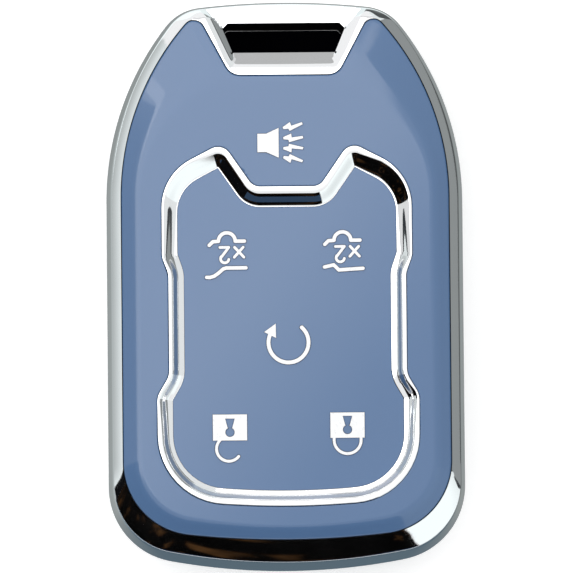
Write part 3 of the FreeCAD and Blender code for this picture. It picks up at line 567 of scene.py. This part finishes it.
def dress(piece, body, materials, slot, *nodes):
    """Give a piece its materials and body, and let it stand for its CAD nodes."""
    for material in materials:
        piece.data.materials.append(material)
    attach(piece, body)
    if nodes:
        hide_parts(*nodes)


# Outlines that several pieces share.
PARTING_LOOP = cover_loop()
CREASE_LOOP = cover_loop(**CREASE_LINE)
BAND_LOOP = cover_loop(**BAND_LINE)
FACE_LOOP = cover_loop(**FACE_LINE)
PANEL_LOOP = panel_loop()
SLOT_LOOP = slot_loop()


def band_level(points):
    """Blue front surface: the sloped band running softly into the flat face."""
    to_band, to_face = depth(points, BAND_LOOP), depth(points, FACE_LOOP)
    slope = BAND + (FACE - BAND) * to_band / (to_band - to_face)
    return soft_min(slope, FACE, FACE_SOFT)


def rim_level(points):
    """Chrome side wall and the facet above its crease."""
    to_parting, to_crease, to_band = (depth(points, loop) for loop in (PARTING_LOOP, CREASE_LOOP, BAND_LOOP))
    wall = PARTING + (CREASE - PARTING) * to_parting / (to_parting - to_crease)
    share = to_crease / (to_crease - to_band)
    facet = CREASE + (BAND - CREASE) * share * (1 + FACET_BULGE * (1 - share))
    return soft_min(wall, facet, CREASE_SOFT)


def window_walls(points, lip):
    """Levels of the key ring window's side walls, which hang from its lip, and of its lower wall."""
    x, y = np.abs(points[:, 0]), points[:, 1]
    beyond = np.maximum(y - WINDOW_FOOT - SLOT_WIDTH + SLOT_CHAMFER, 0)
    past = np.maximum(half_at(y, SLOT_SIDE) + FOOT_SPLAY * beyond - x, 0)
    side = lip - SIDE_SLOPE * (half_at(y, WALL_SIDE) - x) - (FOOT_SLOPE - SIDE_SLOPE) * past
    rise = FACE - WINDOW_FLOOR - LOWER_WALL_START
    return side, WINDOW_FLOOR + LOWER_WALL_START + (WINDOW_FOOT - y) * rise / WINDOW_LOWER_RUN


def bezel_level(points):
    """Upper surface of the front chrome piece: rim, lip and the sunk key ring window."""
    rim = rim_level(points)
    within = inside(points, BAND_LOOP)
    rim[within] = band_level(points[within])
    side, lower = window_walls(points, rim)
    walls = soft_max(side, lower, WINDOW_SOFT)
    window = np.maximum(soft_max(walls, WINDOW_FLOOR, FOOT_SOFT), WINDOW_FLOOR)
    rounding = between(LIP_SOFT, LIP_SIDE_SOFT, np.clip(0.5 + side - lower, 0, 1))
    return soft_min(rim, window, rounding)


def bezel_underside(points, above):
    """Inner face of the front chrome piece."""
    reach = distance(points, PARTING_LOOP)
    slope = (DECK - PARTING) / (DECK_INSET - WALL_INSET)
    wall = PARTING + PARTING_GAP + slope * np.maximum(reach - WALL_INSET, 0)
    return np.maximum(np.minimum(wall, above - SHELL), PARTING + PARTING_GAP)


def window_row(reach):
    """Line round the key ring window, a distance outside the top of its walls."""
    foot = WINDOW_FOOT - WINDOW_LOWER_RUN * (1 + reach / WINDOW_SIDE_RUN)
    end = HALF_LENGTH + SHELL
    narrow, wide = half_at(foot, WALL_SIDE) + reach, half_at(end, WALL_SIDE) + reach
    return split_runs(np.array(((-narrow, foot), (narrow, foot), (wide, end), (-wide, end))), WINDOW_RUN)


def make_front_rim():
    """Front chrome piece: rim, lip and key ring window."""
    edges = [PARTING_LOOP, PANEL_LOOP, split_runs(SLOT_LOOP, SLOT_STEP)]
    rows = [between(PARTING_LOOP, CREASE_LOOP, share) for share in WALL_ROWS]
    rows += [between(CREASE_LOOP, BAND_LOOP, share) for share in FACET_ROWS]
    rows += [window_row(reach) for reach in WINDOW_ROWS]
    loose = grid_points((-GRID_HALF, WINDOW_FOOT), (GRID_HALF, HALF_LENGTH), WINDOW_GRID)
    loose = loose[inside(loose, CREASE_LOOP)]
    rim = drape("front_rim", edges, rows, loose, bezel_level, bezel_underside)
    dress(rim, "front_half", (CHROME, BLACK), "chrome_trim", "front_bezel")


def make_front_skin():
    """Blue front skin with rolled edges, holed for the keypad frame and the panic key."""
    outer_edge = inward(PANEL_LOOP, SEAM_GAP)
    frame_edge = split_runs(inward(frame_loop(0), -FRAME_GAP), HOLE_STEP)
    key_edge = split_runs(hinge_edge("panic"), HOLE_STEP)
    rows = [between(BAND_LOOP, FACE_LOOP, share) for share in BAND_ROWS]
    loose = grid_points((-HALF_WIDTH, -HALF_LENGTH), (HALF_WIDTH, HALF_LENGTH), SKIN_GRID)
    loose = loose[inside(loose, rows[-1])]

    def upper(points):
        roll = rolled_edge(distance(points, outer_edge), SKIN_ROLL)
        return band_level(points) - roll - rolled_edge(distance(points, frame_edge), SKIN_ROLL / 2)

    seams = [inward(outer_edge, step) for step in SKIN_STEPS]
    seams += [inward(frame_edge, -step / 2) for step in SKIN_STEPS]
    edges = [outer_edge, frame_edge, key_edge]
    skin = drape("front_skin", edges, rows, loose, upper, flat_face(DECK), seams)
    dress(skin, "front_half", (BLUE, BLUE), "blue_skin", "front_panel")


def flat_face(level):
    """Face that is flat."""
    return lambda points, *above: np.full(len(points), level)


def frame_section():
    """Section of the keypad frame: shares of its outer lip, wall and inner lip, each with a level."""
    edge = FRAME_EDGE_ROUND / FRAME_WIDTH / OUTER_LIP[0]
    stations = [((0, 0, 0), DECK)]
    for turn in np.linspace(0, math.pi / 2, FRAME_EDGE_ROWS):
        level = FRAME_TOP - FRAME_EDGE_ROUND * (1 - math.sin(turn))
        stations.append(((edge * (1 - math.cos(turn)), 0, 0), level))
    for share in np.linspace(0, 1, FRAME_WALL_ROWS):
        drop = between(share, share ** 2 * (3 - 2 * share), FRAME_WALL_CURVE)
        stations.append(((1, share, 0), between(FRAME_TOP, FRAME_LOW, drop)))
    ends = ((INNER_LIP_FLAT, FRAME_LOW), (1, FRAME_LOW - INNER_LIP_DROP), (1, DECK))
    return stations + [((1, 1, share), level) for share, level in ends]


def lip_shares(shares):
    """Lip share at each point of a keypad frame outline."""
    return np.repeat((*shares, *reversed(shares), shares[0]), FRAME_POINTS + 1)[:, None]


def make_keypad_frame():
    """Chrome frame: flat outer lip, a wall that curves down, and a flat inner lip."""
    outer, inner = frame_loop(0), frame_loop(FRAME_WIDTH)
    outer_lip, inner_lip = lip_shares(OUTER_LIP), lip_shares(INNER_LIP)
    loops = []
    for (first, second, third), level in frame_section():
        place = first * outer_lip + second * (1 - outer_lip - inner_lip) + third * inner_lip
        loops.append((between(outer, inner, place), level))
    trim = loft("keypad_trim", loops, closed=True)
    dress(trim, "front_half", (CHROME,), "chrome_trim", "keypad_frame")


def make_keypad_skin():
    """Sunk blue skin inside the keypad frame, holed for its keys."""
    edge = inward(frame_loop(FRAME_WIDTH), FRAME_GAP)
    holes = [hinge_edge(name) for name in KEYS if name != "panic"]
    loose = grid_points((-HALF_WIDTH, -HALF_LENGTH), (HALF_WIDTH, HALF_LENGTH), PAD_GRID)
    skin = drape("keypad_skin", [edge, *holes], [], loose, flat_face(PAD), flat_face(DECK))
    dress(skin, "front_half", (BLUE, BLUE), "blue_skin", "keypad_panel")


def hinge_edge(name):
    """Outer edge of the strips that hold a key."""
    return block_loop(KEYS[name], KEYS[name].hinge, CORNER_LEAST, 1)


def make_key(name):
    """Pressed part of the skin, its flange and press boss, and the strips that hold it."""
    key = KEYS[name]
    flange_low = DECK - FLANGE_THICKNESS
    stations = (
        (-BOSS_INSET, BOSS_ROUND, flange_low - BOSS_THICKNESS),
        (-BOSS_INSET, BOSS_ROUND, flange_low),
        (FLANGE_WIDTH, CAP_ROUND, flange_low),
        (FLANGE_WIDTH, CAP_ROUND, DECK),
        (0, CAP_ROUND, DECK),
        (0, CAP_ROUND, key.top - HINGE_THICKNESS),
        (0, CORNER_LEAST, key.top - HINGE_THICKNESS),
        (0, CORNER_LEAST, key.top),
    )
    pad = loft(f"{name}_pad", [(block_loop(key, grow, radius), level) for grow, radius, level in stations])
    dress(pad, f"{name}_button", (BLUE,), "blue_skin", f"{name}_key")
    for side in HINGE_SIDES:
        make_hinge(name, side)


def make_hinge(name, side):
    """Strip of skin between a key and the skin round it."""
    x, y, (width, length), top, hinge = KEYS[name]
    turn_x, turn_y = HINGE_SIDES[side]
    middle = np.array((x, y))
    out = np.array((turn_x, turn_y), float)
    along = np.array((-turn_y, turn_x), float)
    half_out = (width if turn_x else length) / 2
    half_along = (length if turn_x else width) / 2
    points, faces = [], []
    for row in range(HINGE_ROWS + 1):
        grow = hinge * row / HINGE_ROWS
        for end in (-1, 1):
            place = middle + out * (half_out + grow) + along * end * (half_along + grow)
            points += [(*place, top), (*place, top - HINGE_THICKNESS)]
    for row in range(HINGE_ROWS):
        inner = row * HINGE_POINTS
        outer = inner + HINGE_POINTS
        faces += [
            (inner, outer, outer + 2, inner + 2),
            (inner + 1, inner + 3, outer + 3, outer + 1),
            (inner, inner + 1, outer + 1, outer),
            (inner + 2, outer + 2, outer + 3, inner + 3),
        ]
    last = HINGE_ROWS * HINGE_POINTS
    faces += [(0, 2, 3, 1), (last, last + 1, last + 3, last + 2)]
    strip = new_mesh(f"{name}_hinge_{side}", np.array(points), faces)
    strip.data.materials.append(BLUE)
    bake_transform(strip)


def make_painted_symbol_shadow(name):
    """Painted shadow round a symbol: a dark line in the skin, the symbol's outline slightly wider and almost
    flat.
    """
    icon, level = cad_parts[f"{name}_icon"], KEYS[name].top
    places = np.array([icon.matrix_world @ vertex.co for vertex in icon.data.vertices]) / MM
    spots = [tuple(spot) for spot in np.round(places[:, :2], SPOT_DIGITS)]
    outward = {spot: np.zeros(2) for spot in spots}
    for face in icon.data.polygons:
        if abs(face.normal.z) < UPRIGHT:
            for corner in face.vertices:
                outward[spots[corner]] += face.normal[:2]
    middle = (places[:, 2].min() + places[:, 2].max()) / 2
    points = []
    for place, spot in zip(places, spots):
        reach = max(np.linalg.norm(outward[spot]), LEAST_PULL)
        rise = SHADOW_LINE_RISE if place[2] > middle else 0
        points.append((*(place[:2] + outward[spot] / reach * SHADOW_LINE_WIDTH), level + rise))
    painted_shadow = new_mesh(f"{name}_seat", np.array(points), [face.vertices for face in icon.data.polygons])
    dress(painted_shadow, f"{name}_button", (SYMBOL_SHADOW,), "blue_skin")


def rear_level(points, above=None):
    """Rounded back of the rear half."""
    reach = distance(points, PARTING_LOOP)
    surface = REAR_STATIONS[-1][1]
    for (inset, level), (next_inset, next_level) in zip(REAR_STATIONS, REAR_STATIONS[1:]):
        slope = (next_level - level) / (next_inset - inset)
        surface = soft_max(surface, level + slope * (reach - inset), REAR_SOFT)
    surface = np.minimum(surface, PARTING - PARTING_GAP)
    return surface + rolled_edge(distance(points, SLOT_LOOP), REAR_SLOT_ROLL)


def rear_inside(points):
    """Inner face of the rear chrome piece."""
    reach = distance(points, PARTING_LOOP)
    slope = (PARTING - REAR_SKIN) / (REAR_DECK_INSET - WALL_INSET)
    wall = PARTING - PARTING_GAP - slope * np.maximum(reach - WALL_INSET, 0)
    return np.maximum(wall, REAR_SKIN)


def make_rear_rim():
    """Rear chrome piece with its rounded back and its own key ring slot."""
    rows = [cover_loop(inset) for inset in REAR_ROWS]
    loose = grid_points((-HALF_WIDTH, REAR_END[0]), (HALF_WIDTH, REAR_END[1]), REAR_STEP)
    slot = split_runs(SLOT_LOOP, REAR_STEP)
    seams = [inward(slot, -step) for step in REAR_SLOT_STEPS]
    edges = [PARTING_LOOP, rear_panel_loop(0), slot]
    rim = drape("rear_rim", edges, rows, loose, rear_inside, rear_level, seams, shown="lower")
    dress(rim, "rear_half", (CHROME, BLACK), "chrome_trim", "rear_bezel")


def rear_panel_loop(inset):
    """Outline of the rear panel drawn in by an inset."""
    moved = {size: value + REAR_PANEL_MOVES[size] * inset for size, value in REAR_PANEL_LINE.items()}
    return cover_loop(**moved)


def make_rear_skin():
    """Blue rear skin with a rounded edge."""
    loops = []
    for turn in np.linspace(0, math.pi / 2, REAR_EDGE_ROWS):
        inset = REAR_PANEL_ROUND * (1 - math.sin(turn))
        level = REAR_PANEL_ROUND * (1 - math.cos(turn))
        loops.append((rear_panel_loop(inset), level))
    loops.append((rear_panel_loop(0), REAR_SKIN))
    skin = loft("rear_skin", loops)
    dress(skin, "rear_half", (BLUE,), "blue_skin", "rear_panel")


def new_material(name):
    """Plain principled material, its tree and its shader."""
    material = bpy.data.materials.new(name)
    material.use_nodes = True
    return material, material.node_tree, material.node_tree.nodes["Principled BSDF"]


def add_node(tree, kind, **settings):
    """Node with its settings."""
    node = tree.nodes.new(kind)
    for name, value in settings.items():
        setattr(node, name, value)
    return node


def put(node, values):
    """Set inputs of a node."""
    for name, value in values.items():
        node.inputs[name].default_value = value


def noise(tree, scale, detail=4.0):
    """Noise in object space with features of about one over its scale, in metres."""
    place = add_node(tree, "ShaderNodeTexCoord")
    texture = add_node(tree, "ShaderNodeTexNoise")
    put(texture, {"Scale": scale, "Detail": detail})
    tree.links.new(place.outputs["Object"], texture.inputs["Vector"])
    return texture.outputs["Fac"]


def axes_of(tree, space):
    """Sockets of the X, Y and Z of a place."""
    place = add_node(tree, "ShaderNodeTexCoord")
    parts = add_node(tree, "ShaderNodeSeparateXYZ")
    tree.links.new(place.outputs[space], parts.inputs["Vector"])
    return parts.outputs


def ranged(tree, value, results, span=NOISE_SPAN):
    """Value mapped evenly from a span to a range of results."""
    node = add_node(tree, "ShaderNodeMapRange")
    put(node, {"From Min": span[0], "From Max": span[1], "To Min": results[0], "To Max": results[1]})
    tree.links.new(value, node.inputs["Value"])
    return node.outputs["Result"]


def ramp(tree, place, results, run):
    """Range of results over a run of places, in millimetres."""
    return ranged(tree, place, results, (run[0] * MM, run[1] * MM))


def mixed(tree, value, first, second):
    """Colour between two colours."""
    node = add_node(tree, "ShaderNodeMix", data_type="RGBA")
    put(node, {"A": (*first, 1), "B": (*second, 1)})
    tree.links.new(value, node.inputs["Factor"])
    return node.outputs["Result"]


def joined(tree, operation, first, second):
    """Sum or product of two values."""
    node = add_node(tree, "ShaderNodeMath", operation=operation)
    tree.links.new(first, node.inputs[0])
    tree.links.new(second, node.inputs[1])
    return node.outputs["Value"]


def speckled(name, tones, tone_scale, roughness, roughness_scale):
    """Material whose colour and roughness each wander between two values."""
    material, tree, shader = new_material(name)
    tree.links.new(mixed(tree, noise(tree, tone_scale), *tones), shader.inputs["Base Color"])
    tree.links.new(ranged(tree, noise(tree, roughness_scale), roughness), shader.inputs["Roughness"])
    return material, tree, shader


def add_bump(tree, shader, scale, detail, strength, reach):
    """Fine unevenness of a surface."""
    bump = add_node(tree, "ShaderNodeBump")
    put(bump, {"Strength": strength, "Distance": reach})
    tree.links.new(noise(tree, scale, detail), bump.inputs["Height"])
    tree.links.new(bump.outputs["Normal"], shader.inputs["Normal"])


def chrome_plating():
    """Bright plating, almost a mirror."""
    material, tree, shader = speckled(
        "chrome_plating", PALE_METAL, tone_scale=90, roughness=(0.03, 0.08), roughness_scale=160,
    )
    put(shader, {"Metallic": 1})
    add_bump(tree, shader, scale=700, detail=2, strength=0.03, reach=0.00003)
    return material


def blue_coating():
    """Blue soft plastic under a clear coat."""
    material, tree, shader = speckled(
        "blue_coating", BLUE_TONES, tone_scale=55, roughness=(0.28, 0.31), roughness_scale=420,
    )
    put(shader, {"Coat Weight": 0.8, "Coat Roughness": 0.05, "Specular IOR Level": 0.25})
    add_bump(tree, shader, scale=2600, detail=3, strength=0.02, reach=0.00003)
    return material


def black_plastic():
    """Dull black plastic."""
    material, tree, shader = speckled(
        "black_plastic", BLACK_TONES, tone_scale=200, roughness=(0.42, 0.6), roughness_scale=900,
    )
    add_bump(tree, shader, scale=3000, detail=3, strength=0.12, reach=0.00008)
    return material


def silver_foil():
    """Pale, slightly metallic silver."""
    material, tree, shader = speckled(
        "silver_foil", PALE_METAL, tone_scale=300, roughness=(0.25, 0.35), roughness_scale=1200,
    )
    put(shader, {"Metallic": 0.1})
    add_bump(tree, shader, scale=4000, detail=2, strength=0.03, reach=0.00002)
    return material


def painted_symbol_shadow():
    """Dark blue of the lines round the symbols, which paint the shade at their raised edges."""
    material, _, shader = speckled(
        "painted_symbol_shadow", SHADOW_LINE_TONES, tone_scale=300, roughness=(0.4, 0.55), roughness_scale=900,
    )
    put(shader, {"Specular IOR Level": 0.2})
    return material


def dress_nodes(names, material):
    """Give CAD nodes that stay in view their material."""
    for name in names:
        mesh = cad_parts[name].data
        mesh.materials.clear()
        mesh.materials.append(material)


def card_material(name):
    """Material that only gives off light, its tree and its shader."""
    material, tree, _ = new_material(name)
    tree.nodes.clear()
    glow = add_node(tree, "ShaderNodeEmission")
    output = add_node(tree, "ShaderNodeOutputMaterial")
    tree.links.new(glow.outputs["Emission"], output.inputs["Surface"])
    return material, tree, glow


def even_card(name, radiance):
    """Card with the same light all over."""
    material, _, glow = card_material(name)
    put(glow, {"Color": (*radiance, 1)})
    return material


def mottled_card(name):
    """Dark card with blurred warm patches."""
    material, tree, glow = card_material(name)
    patches = ranged(tree, noise(tree, FLAG_SCALE, 2), (0, 1), FLAG_SPAN)
    tree.links.new(mixed(tree, patches, *FLAG_TONES), glow.inputs["Color"])
    return material


def slanted_card(name, direction, radiances, run, tint):
    """Card whose light runs evenly from one radiance to another along a direction."""
    material, tree, glow = card_material(name)
    put(glow, {"Color": (*tint, 1)})
    place = add_node(tree, "ShaderNodeTexCoord")
    along = add_node(tree, "ShaderNodeVectorMath", operation="DOT_PRODUCT")
    put(along, {1: direction})
    tree.links.new(place.outputs["Object"], along.inputs[0])
    tree.links.new(ramp(tree, along.outputs["Value"], radiances, run), glow.inputs["Strength"])
    return material


def floor_card():
    """Floor in the chrome: dim, brighter at the left and beyond the key ring end, dark at the far right."""
    material, tree, glow = card_material("floor_card")
    axes = axes_of(tree, "Object")
    tone = mixed(tree, ramp(tree, axes["Y"], (0, 1), TONE_RUN), *FLOOR_TONES)
    tree.links.new(tone, glow.inputs["Color"])
    left = ramp(tree, axes["X"], LEFT_STRENGTHS, LEFT_RUN)
    end = ramp(tree, axes["Y"], END_STRENGTHS, END_RUN)
    near = ramp(tree, axes["X"], END_SHARES, END_SIDE_RUN)
    far = ramp(tree, axes["X"], FAR_SHARES, FAR_RUN)
    light = joined(tree, "ADD", left, joined(tree, "MULTIPLY", end, near))
    tree.links.new(joined(tree, "MULTIPLY", light, far), glow.inputs["Strength"])
    return material


def add_painted_slot_shade():
    """Black card that lies across the far end of the key ring slot: painted shade, standing for the dark
    depth of the slot.
    """
    outline = inward(SLOT_LOOP, EDGE_CLEAR)
    corners = np.column_stack((outline, np.full(len(outline), SLOT_SHADE)))
    shade = new_mesh("slot_shade", corners, [range(len(outline))])
    material, _, shader = new_material("slot_shade")
    put(shader, {"Base Color": PAINTED_SHADE_TONE, "Specular IOR Level": 0})
    shade.data.materials.append(material)


def gloss_only(card, material):
    """Make a studio card that shows only in reflections."""
    card.data.materials.append(material)
    for ray in ("camera", "diffuse", "shadow", "transmission"):
        setattr(card, f"visible_{ray}", False)


def add_card(name, turns, heights, material, reach=CARD_REACH):
    """Card round the cover, between two turns and two heights in degrees."""
    points, faces = [], []
    for rise in np.radians(np.linspace(*heights, CARD_STEPS + 1)):
        for turn in np.radians(np.linspace(*turns, CARD_STEPS + 1)):
            flat = math.cos(rise)
            points.append((math.cos(turn) * flat, math.sin(turn) * flat, math.sin(rise)))
    for row in range(CARD_STEPS):
        for column in range(CARD_STEPS):
            first = row * (CARD_STEPS + 1) + column
            above = first + CARD_STEPS + 1
            faces.append((first, first + 1, above + 1, above))
    gloss_only(new_mesh(name, np.array(points) * reach, faces), material)


def level_square(name, low, high, level):
    """Level rectangle between two corners."""
    corners = ((low[0], low[1]), (high[0], low[1]), (high[0], high[1]), (low[0], high[1]))
    return new_mesh(name, np.array([(x, y, level) for x, y in corners], float), [(0, 1, 2, 3)])


def add_cards():
    """Studio cards all round, above and below."""
    add_card("front_flag", FLAG_TURNS, FLAG_HEIGHTS, mottled_card("front_flag"))
    for name, turns, heights, radiance in EVEN_CARDS:
        add_card(name, turns, heights, even_card(name, radiance))
    for name, turns, heights, direction, radiances, run, tint, reach in SLANTED_CARDS:
        add_card(name, turns, heights, slanted_card(name, direction, radiances, run, tint), reach)
    ceiling = slanted_card("ceiling_card", CEILING_SLANT, CEILING_LIGHT, CEILING_RUN, PLAIN)
    gloss_only(level_square("ceiling_card", *CEILING_CORNERS, CEILING), ceiling)
    gloss_only(level_square("floor_card", *FLOOR_CORNERS, FLOOR_CARD), floor_card())


def add_softbox():
    """Square area light aimed at the cover."""
    light = bpy.data.lights.new("key_softbox", "AREA")
    light.shape = "SQUARE"
    light.size = SOFTBOX_SIZE * MM
    light.energy = SOFTBOX_RADIANCE * math.pi * light.size ** 2
    lamp = bpy.data.objects.new("key_softbox", light)
    lamp.location = Vector(SOFTBOX_PLACE) * MM
    lamp.rotation_euler = (-lamp.location).to_track_quat("-Z", "Y").to_euler()
    bpy.context.scene.collection.objects.link(lamp)


def add_floor():
    """Pale floor, lifted a little where it is looked at."""
    floor = level_square("floor", (-FLOOR_HALF, -FLOOR_HALF), (FLOOR_HALF, FLOOR_HALF), FLOOR)
    material, tree, shader = new_material("pale_floor")
    put(shader, {"Base Color": FLOOR_TONE, "Emission Color": WHITE})
    put(shader, {"Roughness": FLOOR_ROUGHNESS, "Specular IOR Level": 0})
    path = add_node(tree, "ShaderNodeLightPath")
    seen = path.outputs["Is Camera Ray"]
    for ray in ("Is Glossy Ray", "Is Transmission Ray"):
        seen = joined(tree, "ADD", seen, path.outputs[ray])
    tree.links.new(ranged(tree, seen, (0, FLOOR_LIFT), (0, 1)), shader.inputs["Emission Strength"])
    floor.data.materials.append(material)


def add_world():
    """Studio sky: white overhead, grey towards the horizon and dimmer at the front."""
    world = bpy.data.worlds.new("studio")
    bpy.context.scene.world = world
    world.use_nodes = True
    tree = world.node_tree
    sky = tree.nodes["Background"]
    axes = axes_of(tree, "Generated")
    height = ranged(tree, axes["Z"], (0, 1), (0, 1))
    tree.links.new(mixed(tree, height, HORIZON, ZENITH), sky.inputs["Color"])
    tree.links.new(ranged(tree, axes["Y"], SKY_STRENGTHS, SKY_SPAN), sky.inputs["Strength"])


def add_camera():
    """Camera that sets the middle of the cover on its pixel."""
    tilt, side, roll = CAMERA_TILT, CAMERA_SIDE, CAMERA_ROLL
    up = np.array((0, math.cos(tilt), math.sin(tilt)))
    back = np.array((-math.sin(side), -math.sin(tilt) * math.cos(side), math.cos(tilt) * math.cos(side)))
    right = np.array((math.cos(side), -math.sin(tilt) * math.sin(side), math.cos(tilt) * math.sin(side)))
    right, up = right * math.cos(roll) - up * math.sin(roll), right * math.sin(roll) + up * math.cos(roll)
    shift = ((IMAGE / 2 - COVER_PIXEL[0]) / PIXELS_PER_MM, (COVER_PIXEL[1] - IMAGE / 2) / PIXELS_PER_MM)
    place = np.array((0, 0, PARTING)) + right * shift[0] + up * shift[1] + back * CAMERA_DISTANCE
    data = bpy.data.cameras.new("camera")
    data.sensor_width = SENSOR
    data.lens = SENSOR * CAMERA_DISTANCE * PIXELS_PER_MM / IMAGE
    camera = bpy.data.objects.new("camera", data)
    axes = Matrix((right, up, back)).transposed().to_4x4()
    camera.matrix_world = Matrix.Translation(Vector(place) * MM) @ axes
    bpy.context.scene.collection.objects.link(camera)
    bpy.context.scene.camera = camera


CHROME, BLUE, BLACK, SILVER = chrome_plating(), blue_coating(), black_plastic(), silver_foil()
# Dark blue that paints the shade round the symbols.
SYMBOL_SHADOW = painted_symbol_shadow()
make_front_rim()
make_front_skin()
make_keypad_frame()
make_keypad_skin()
for key_name in KEYS:
    make_key(key_name)
    make_painted_symbol_shadow(key_name)
make_rear_rim()
make_rear_skin()
dress_nodes(("front_carrier", "rear_carrier"), BLACK)
dress_nodes([f"{key_name}_icon" for key_name in KEYS], SILVER)

add_floor()
add_world()
add_softbox()
add_cards()
add_painted_slot_shade()
add_camera()
bpy.context.scene.view_settings.view_transform = "Standard"
